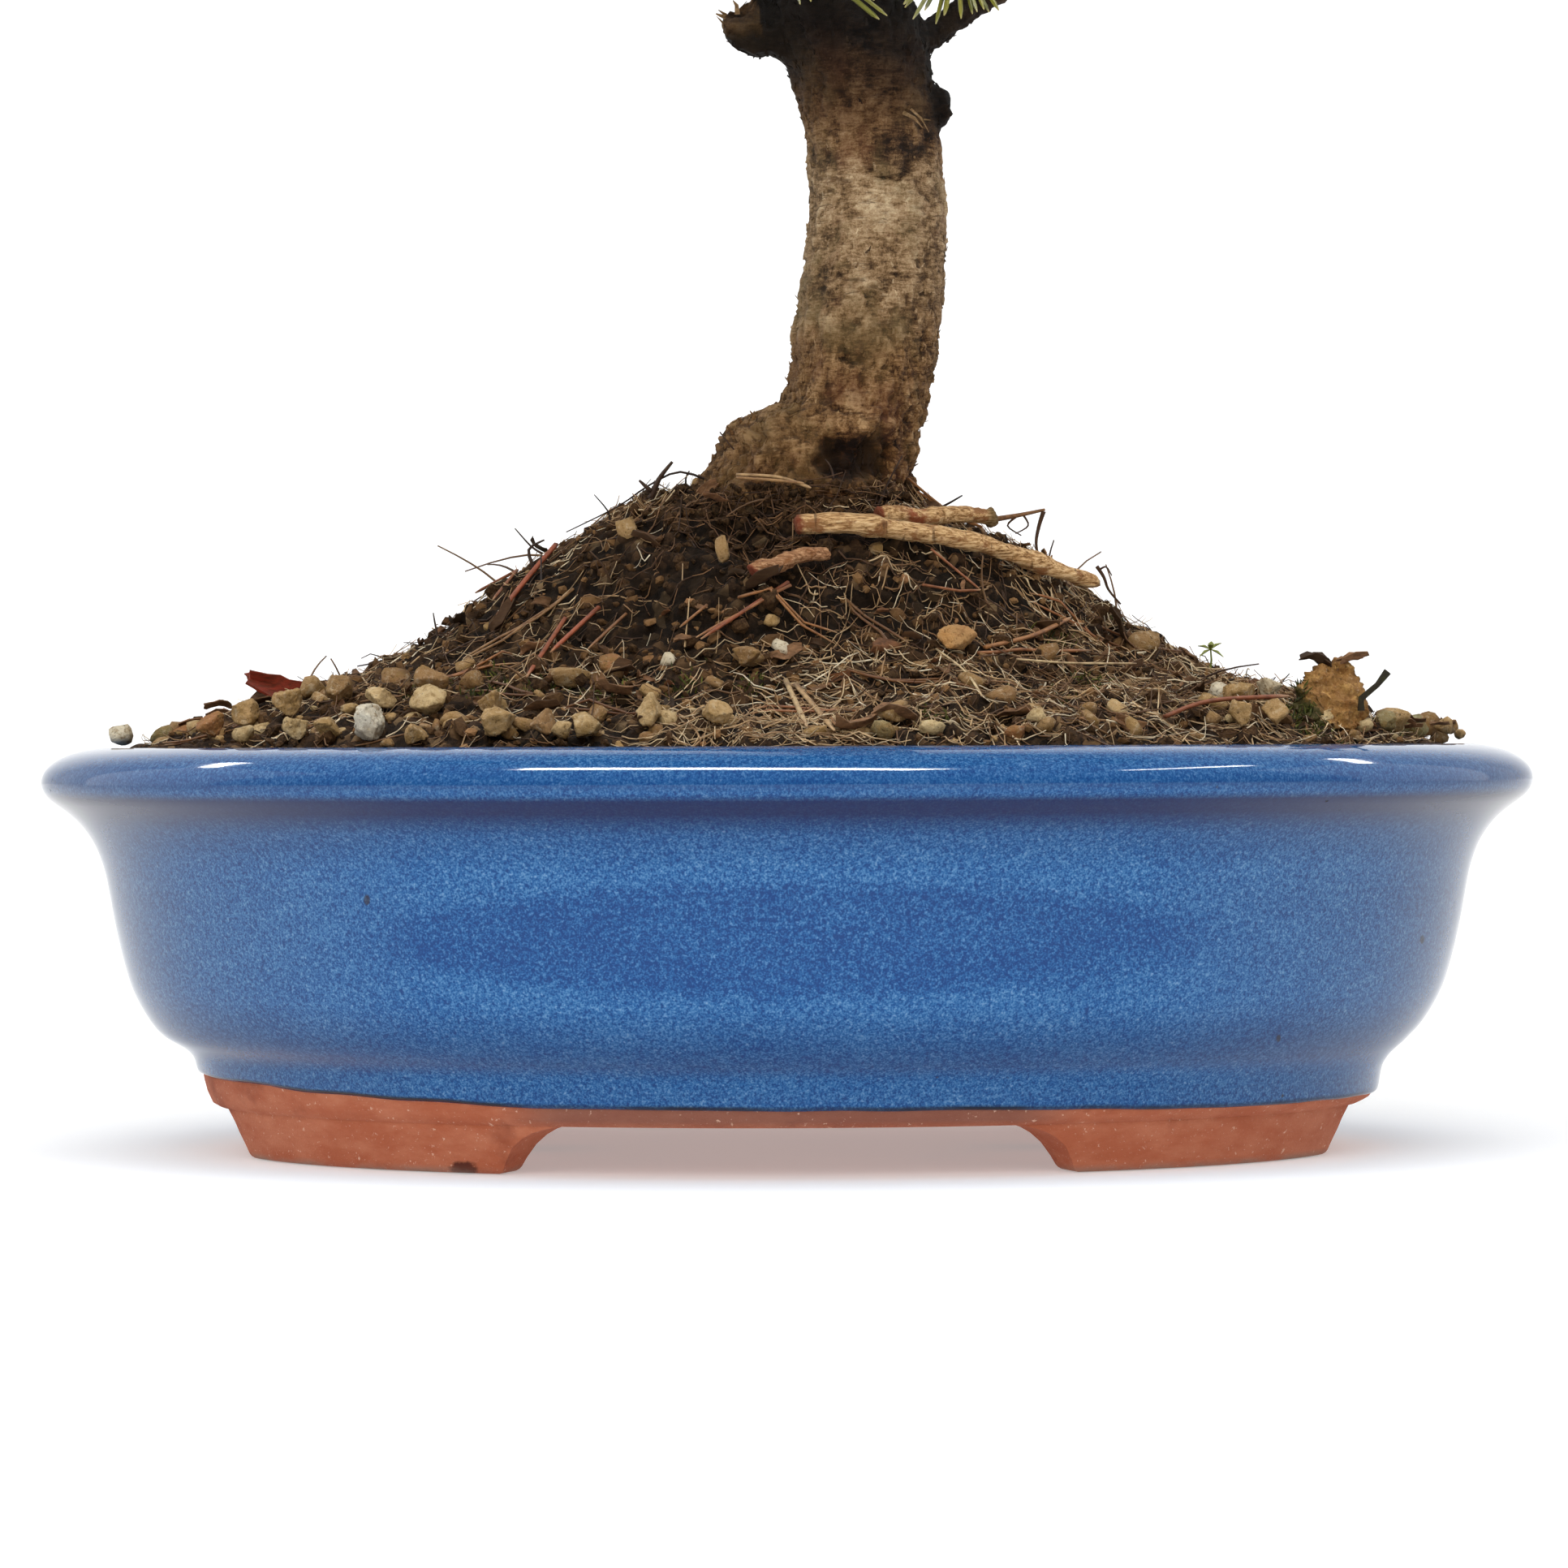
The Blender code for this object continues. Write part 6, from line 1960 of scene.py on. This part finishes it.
needlePlan = {
    'limbs': (
        # height over the rim, compass, reach, rise, shoots
        (0.194, 178, 0.133, 0.052, 3), (0.191, 232, 0.108, 0.047, 3), (0.197, 292, 0.106, 0.05, 3),
        (0.168, 352, 0.108, 0.07, 3), (0.2, 48, 0.118, 0.058, 3), (0.196, 118, 0.117, 0.062, 3),
        (0.258, 205, 0.078, 0.052, 3), (0.266, 262, 0.074, 0.046, 3), (0.252, 322, 0.084, 0.056, 3),
        (0.27, 22, 0.082, 0.048, 3), (0.276, 88, 0.08, 0.044, 3), (0.268, 148, 0.08, 0.05, 3),
        (0.33, 180, 0.038, 0.046, 3), (0.334, 300, 0.038, 0.044, 3), (0.338, 60, 0.04, 0.042, 3),
        (0.35, 20, 0.004, 0.024, 4),
    ),
    'limbBends': ((0.27, 0.33, 1.0), (0.72, 0.62, -1.0)),
    'limbWave': 0.07,
    'shootLength': 0.066,
    'shootRadius': 0.0021,
    'sideShare': 0.86,
    'sideSpread': 50,
    'curl': 0.275,
    'pairs': 58,
    'sidePairs': 48,
    'length': (0.033, 0.046),
    'radius': 0.00085,
    'lean': (70, 24),            # degrees off the shoot, at its foot and at its tip
    'spread': 0.065,             # between the two needles of a pair
    'bud': 0.009,
    'viewEdge': (0.1085, 0.1306),    # height at the camera and slope of the photo's top edge
}


def limbTip(height, compass, reach, rise):
    plan = needlePlan
    x = betweenStops([(high, x) for high, x, _ in trunkLine], height)
    y = betweenStops([(high, y) for high, _, y in trunkLine], height)
    start = Vector((x, y, rimHeight + height))
    angle = math.radians(compass)
    outward = Vector((math.cos(angle), math.sin(angle), 0)) * reach
    sideways = Vector((-outward.y, outward.x, 0)) * plan['limbWave']
    up = Vector((0, 0, rise))
    points = [start]
    for outShare, upShare, sideShare in plan['limbBends']:
        points.append(start + outward * outShare + up * upShare + sideways * sideShare)
    points.append(start + outward + up)
    line = curveThrough([tuple(point) for point in points], 2)
    tip, before = Vector(line[-1]), Vector(line[-2])
    return tip, (tip - before).normalized()


def shootLines(tip, along, count):
    plan = needlePlan
    flat = Vector((along.x, along.y, 0))
    upright = flat.length < 0.3
    flat.normalize()
    lines = [(tip, along, plan['shootLength'], 1.0)]
    root = tip + along * 0.006
    for k in range(count - 1):
        swing = (1, -1)[k % 2] * math.radians(plan['sideSpread'])
        if upright:
            swing = 2 * math.pi * k / (count - 1)
        way = Matrix.Rotation(swing, 3, 'Z') @ flat + Vector((0, 0, 0.7 if upright else 0.3))
        lines.append((root, way.normalized(), plan['shootLength'] * plan['sideShare'], 0.92))
    return lines


def shootPoint(line, share):
    start, along, length, _ = line
    run = share * length
    return start + along * run + Vector((0, 0, needlePlan['curl'] * run * run / length))


def needleLine(draw, root, way, toward, length):
    # a needle bows a little and ends in a short blunt point
    bow = toward * draw.uniform(0.02, 0.1)
    bow += Vector([draw.gauss(0, 0.03) for _ in range(3)])
    points = [root + way * length * t + bow * length * t * t for t in (0.0, 0.3, 0.62, 0.93, 1.0)]
    radius = needlePlan['radius'] * draw.uniform(0.88, 1.12)
    return points, [radius * 0.85, radius, radius, radius * 0.82, radius * 0.25]


def underView(point):
    # the lowest needles stay above this slanting plane, as they do on the tree
    height, slope = needlePlan['viewEdge']
    return point.z < height + slope * (cameraPlan['distance'] + point.y)


def clotheShoot(draw, line, pairs, strands):
    plan = needlePlan
    width = line[3]
    # woody core with scales and a bud
    points, radii = [], []
    for k in range(15):
        share = -0.03 + 1.03 * k / 14
        points.append(shootPoint(line, share))
        radii.append(plan['shootRadius'] * width * (1.08 - 0.25 * share) * (1 + 0.12 * math.sin(k * 2.4)))
    ahead = (points[-1] - points[-2]).normalized()
    for reach, share in ((0.0014, 1.15), (0.0036, 1.25), (0.0062, 0.85), (plan['bud'], 0.15)):
        points.append(points[14] + ahead * reach)
        radii.append(plan['shootRadius'] * width * share * 0.8)
    strands.append((points, radii, draw.random(), 1.0, Vector((0.3, 0.2, 1)).normalized()))
    first, last = plan['lean']
    for number in range(pairs):
        share = 0.1 + 0.89 * (number + 0.5) / pairs
        root = shootPoint(line, share)
        ahead = (shootPoint(line, share + 0.02) - root).normalized()
        side = ahead.orthogonal().normalized()
        out = Matrix.Rotation(number * 2.39996 + draw.gauss(0, 0.12), 3, ahead) @ side
        for _ in range(6):
            lean = math.radians(first + (last - first) * share ** 1.4 + draw.gauss(0, 7))
            way = (ahead * math.cos(lean) + out * math.sin(lean)).normalized()
            size = draw.uniform(*plan['length']) * (1 - 0.1 * share)
            if not underView(root + way * size):
                break
            out = (out + Vector((0, 0, 0.5))).normalized()
        else:
            continue
        across = ahead.cross(out).normalized()
        tone = draw.random()
        for turn in (-1, 1):
            aim = (way + across * turn * plan['spread'] * draw.uniform(0.5, 1.5)).normalized()
            needle, radii = needleLine(draw, root + out * 0.0012, aim, ahead, size * draw.uniform(0.95, 1.02))
            strands.append((needle, radii, tone, 0.0, across * turn))


def growNeedles():
    material = needleMaterial()
    plan = needlePlan
    for number, (height, compass, reach, rise, count) in enumerate(plan['limbs']):
        draw = random.Random(100 + number)
        tip, along = limbTip(height, compass, reach, rise)
        strands = []
        for k, line in enumerate(shootLines(tip, along, count)):
            clotheShoot(draw, line, plan['pairs'] if k == 0 else plan['sidePairs'], strands)
        wood = [strand for strand in strands if strand[3] > 0.5]
        green = [strand for strand in strands if strand[3] < 0.5]
        core = strandPiece('core', wood, 8)
        spray = strandPiece('spray', green, 3, 0.8)
        pickUp(spray, core)
        bpy.ops.object.join()
        spray = bpy.context.object
        smoothFaces(spray, 70)
        mark = '%02d' % (number + 1)
        placePiece(spray, 'needleSpray' + mark, material, 'needles', 'needle_spray_' + mark)


def needleMaterial():
    material, tree, shader = newMaterial('pineNeedles', 0.42, 0.4)
    tint = tintOf(tree)
    place = placeOf(tree)
    green = rampOf(tree, tint['Red'], (0.0, (88, 92, 34)), (0.35, (124, 124, 46)), (0.7, (154, 150, 62)),
                   (1.0, (184, 176, 88)))
    streak = noiseAt(tree, place, 260.0, 2.0)
    green = veil(tree, green, (136, 138, 70), streak, (0.4, 0.0), (0.7, 0.4))
    # brown sheath at the root, pale point at the tip
    green = veil(tree, green, (120, 84, 52), tint['Green'], (0.0, 1.0), (0.1, 0.0))
    green = veil(tree, green, (196, 182, 120), tint['Green'], (0.86, 0.0), (1.0, 0.75))
    scales = cellsAt(tree, place, 520.0)
    wood = rampOf(tree, scales['Distance'], (0.1, (158, 116, 74)), (0.5, (104, 70, 44)),
                  (0.8, (62, 42, 28)))
    colour = mixColours(tree, tint['Blue'], green, wood)
    tree.links.new(colour, shader.inputs['Base Color'])
    gloss = mixColours(tree, tint['Blue'], 0.42, 0.85)
    tree.links.new(gloss, shader.inputs['Roughness'])
    bump = product(tree, scales['Distance'], tint['Blue'])
    bumpFrom(tree, shader, (bump, 0.6, 0.0008))
    return material


# Spur needles: short tufts straight off the old wood, low on the crown

spurPlan = {
    'tufts': (
        # root, tips of the needles that hang into view
        ((0.001, -0.015, 0.308),
         ((0.024, -0.03, 0.2858), (0.0045, -0.032, 0.2905), (0.02, -0.034, 0.2925),
          (-0.02, -0.029, 0.302), (0.01, -0.045, 0.305))),
        ((0.044, -0.006, 0.308),
         ((0.033, -0.026, 0.29), (0.0362, -0.024, 0.2872), (0.0388, -0.028, 0.289),
          (0.0425, -0.026, 0.2884), (0.0462, -0.025, 0.288), (0.0492, -0.024, 0.2892),
          (0.0515, -0.02, 0.29), (0.03, -0.021, 0.2925))),
    ),
    'length': 0.034,
}


def growSpurs(material):
    draw = random.Random(71)
    strands = []
    for root, tips in spurPlan['tufts']:
        root = Vector(root)
        for tip in tips:
            tip = Vector(tip)
            way = (tip - root).normalized()
            start = tip - way * min(spurPlan['length'], (tip - root).length + 0.004)
            across = way.cross(Vector((0, 1, 0))).normalized()
            for turn in (-1, 1):
                aim = (way + across * turn * 0.05).normalized()
                needle, radii = needleLine(draw, start, aim, way, (tip - start).length)
                strands.append((needle, radii, draw.random(), 0.0, across * turn))
        steps = ((0, 0.01, 0.004), (0, 0.004, 0.002), (0, 0, 0), (0, -0.003, 0))
        core = [root + Vector(step) for step in steps]
        strands.append((core, [0.0026, 0.0024, 0.002, 0.001], 0.5, 1.0, Vector((1, 0, 0))))
    spurs = strandPiece('spurNeedles', strands, 5, 0.8)
    smoothFaces(spurs, 70)
    placePiece(spurs, 'spurNeedles', material, 'needles')


# Drainage screens: the solids stay and get their plastic

def dressScreens():
    material, tree, shader = newMaterial('screenPlastic', 0.5, 0.4)
    grain = noiseAt(tree, placeOf(tree), 600.0, 3.0)
    body = rampOf(tree, grain, (0.35, (24, 26, 24)), (0.7, (52, 54, 50)))
    tree.links.new(body, shader.inputs['Base Color'])
    bumpFrom(tree, shader, (grain, 0.4, 0.0003))
    for name in ('drainage_screen_left', 'drainage_screen_right'):
        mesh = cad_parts[name].data
        mesh.materials.clear()
        mesh.materials.append(material)


setCamera()
makeStudio()
placePiece(throwPot(), 'ovalPot', glazeMaterial(), 'glazed_clay', 'pot')
print('pot thrown')
soil = placePiece(heapSoil(), 'soilHeap', soilMaterial(), 'soil', 'soil')
heap = Ground(soil)
print('soil heaped')
stoneMoulds = [chipStone(seed, stonePlan['voxel'], stonePlan['faces']) for seed in range(stonePlan['moulds'])]
gritMoulds = [chipStone(40 + seed, 0.16, 60) for seed in range(6)]
rockMould = chipStone(77, 0.05)
layGravel(stoneMoulds)
rock = layRock(rockMould, 'rock_large', 'rimRock', 'rock')
layRock(stoneMoulds[2], 'stone_orange', 'orangeStone', 'orange')
layGrit(heap, gritMoulds)
putAway(rockMould, *stoneMoulds, *gritMoulds)
print('stones laid')
dressTrunk()
print('trunk barked')
trunk = Ground(bpy.data.objects['trunkAndLimbs'])
ground = Ground(soil, layCrumbs(heap, trunk))
spreadRootlets(ground, trunk)
dropNeedles(ground)
raiseHairs(ground)
layChips(ground)
growMoss(Ground(soil, rock))
growSeedling(ground)
print('litter spread')
laySticks()
hangTwigs()
print('sticks laid')
growNeedles()
growSpurs(bpy.data.materials['pineNeedles'])
dressScreens()
print('needles grown')
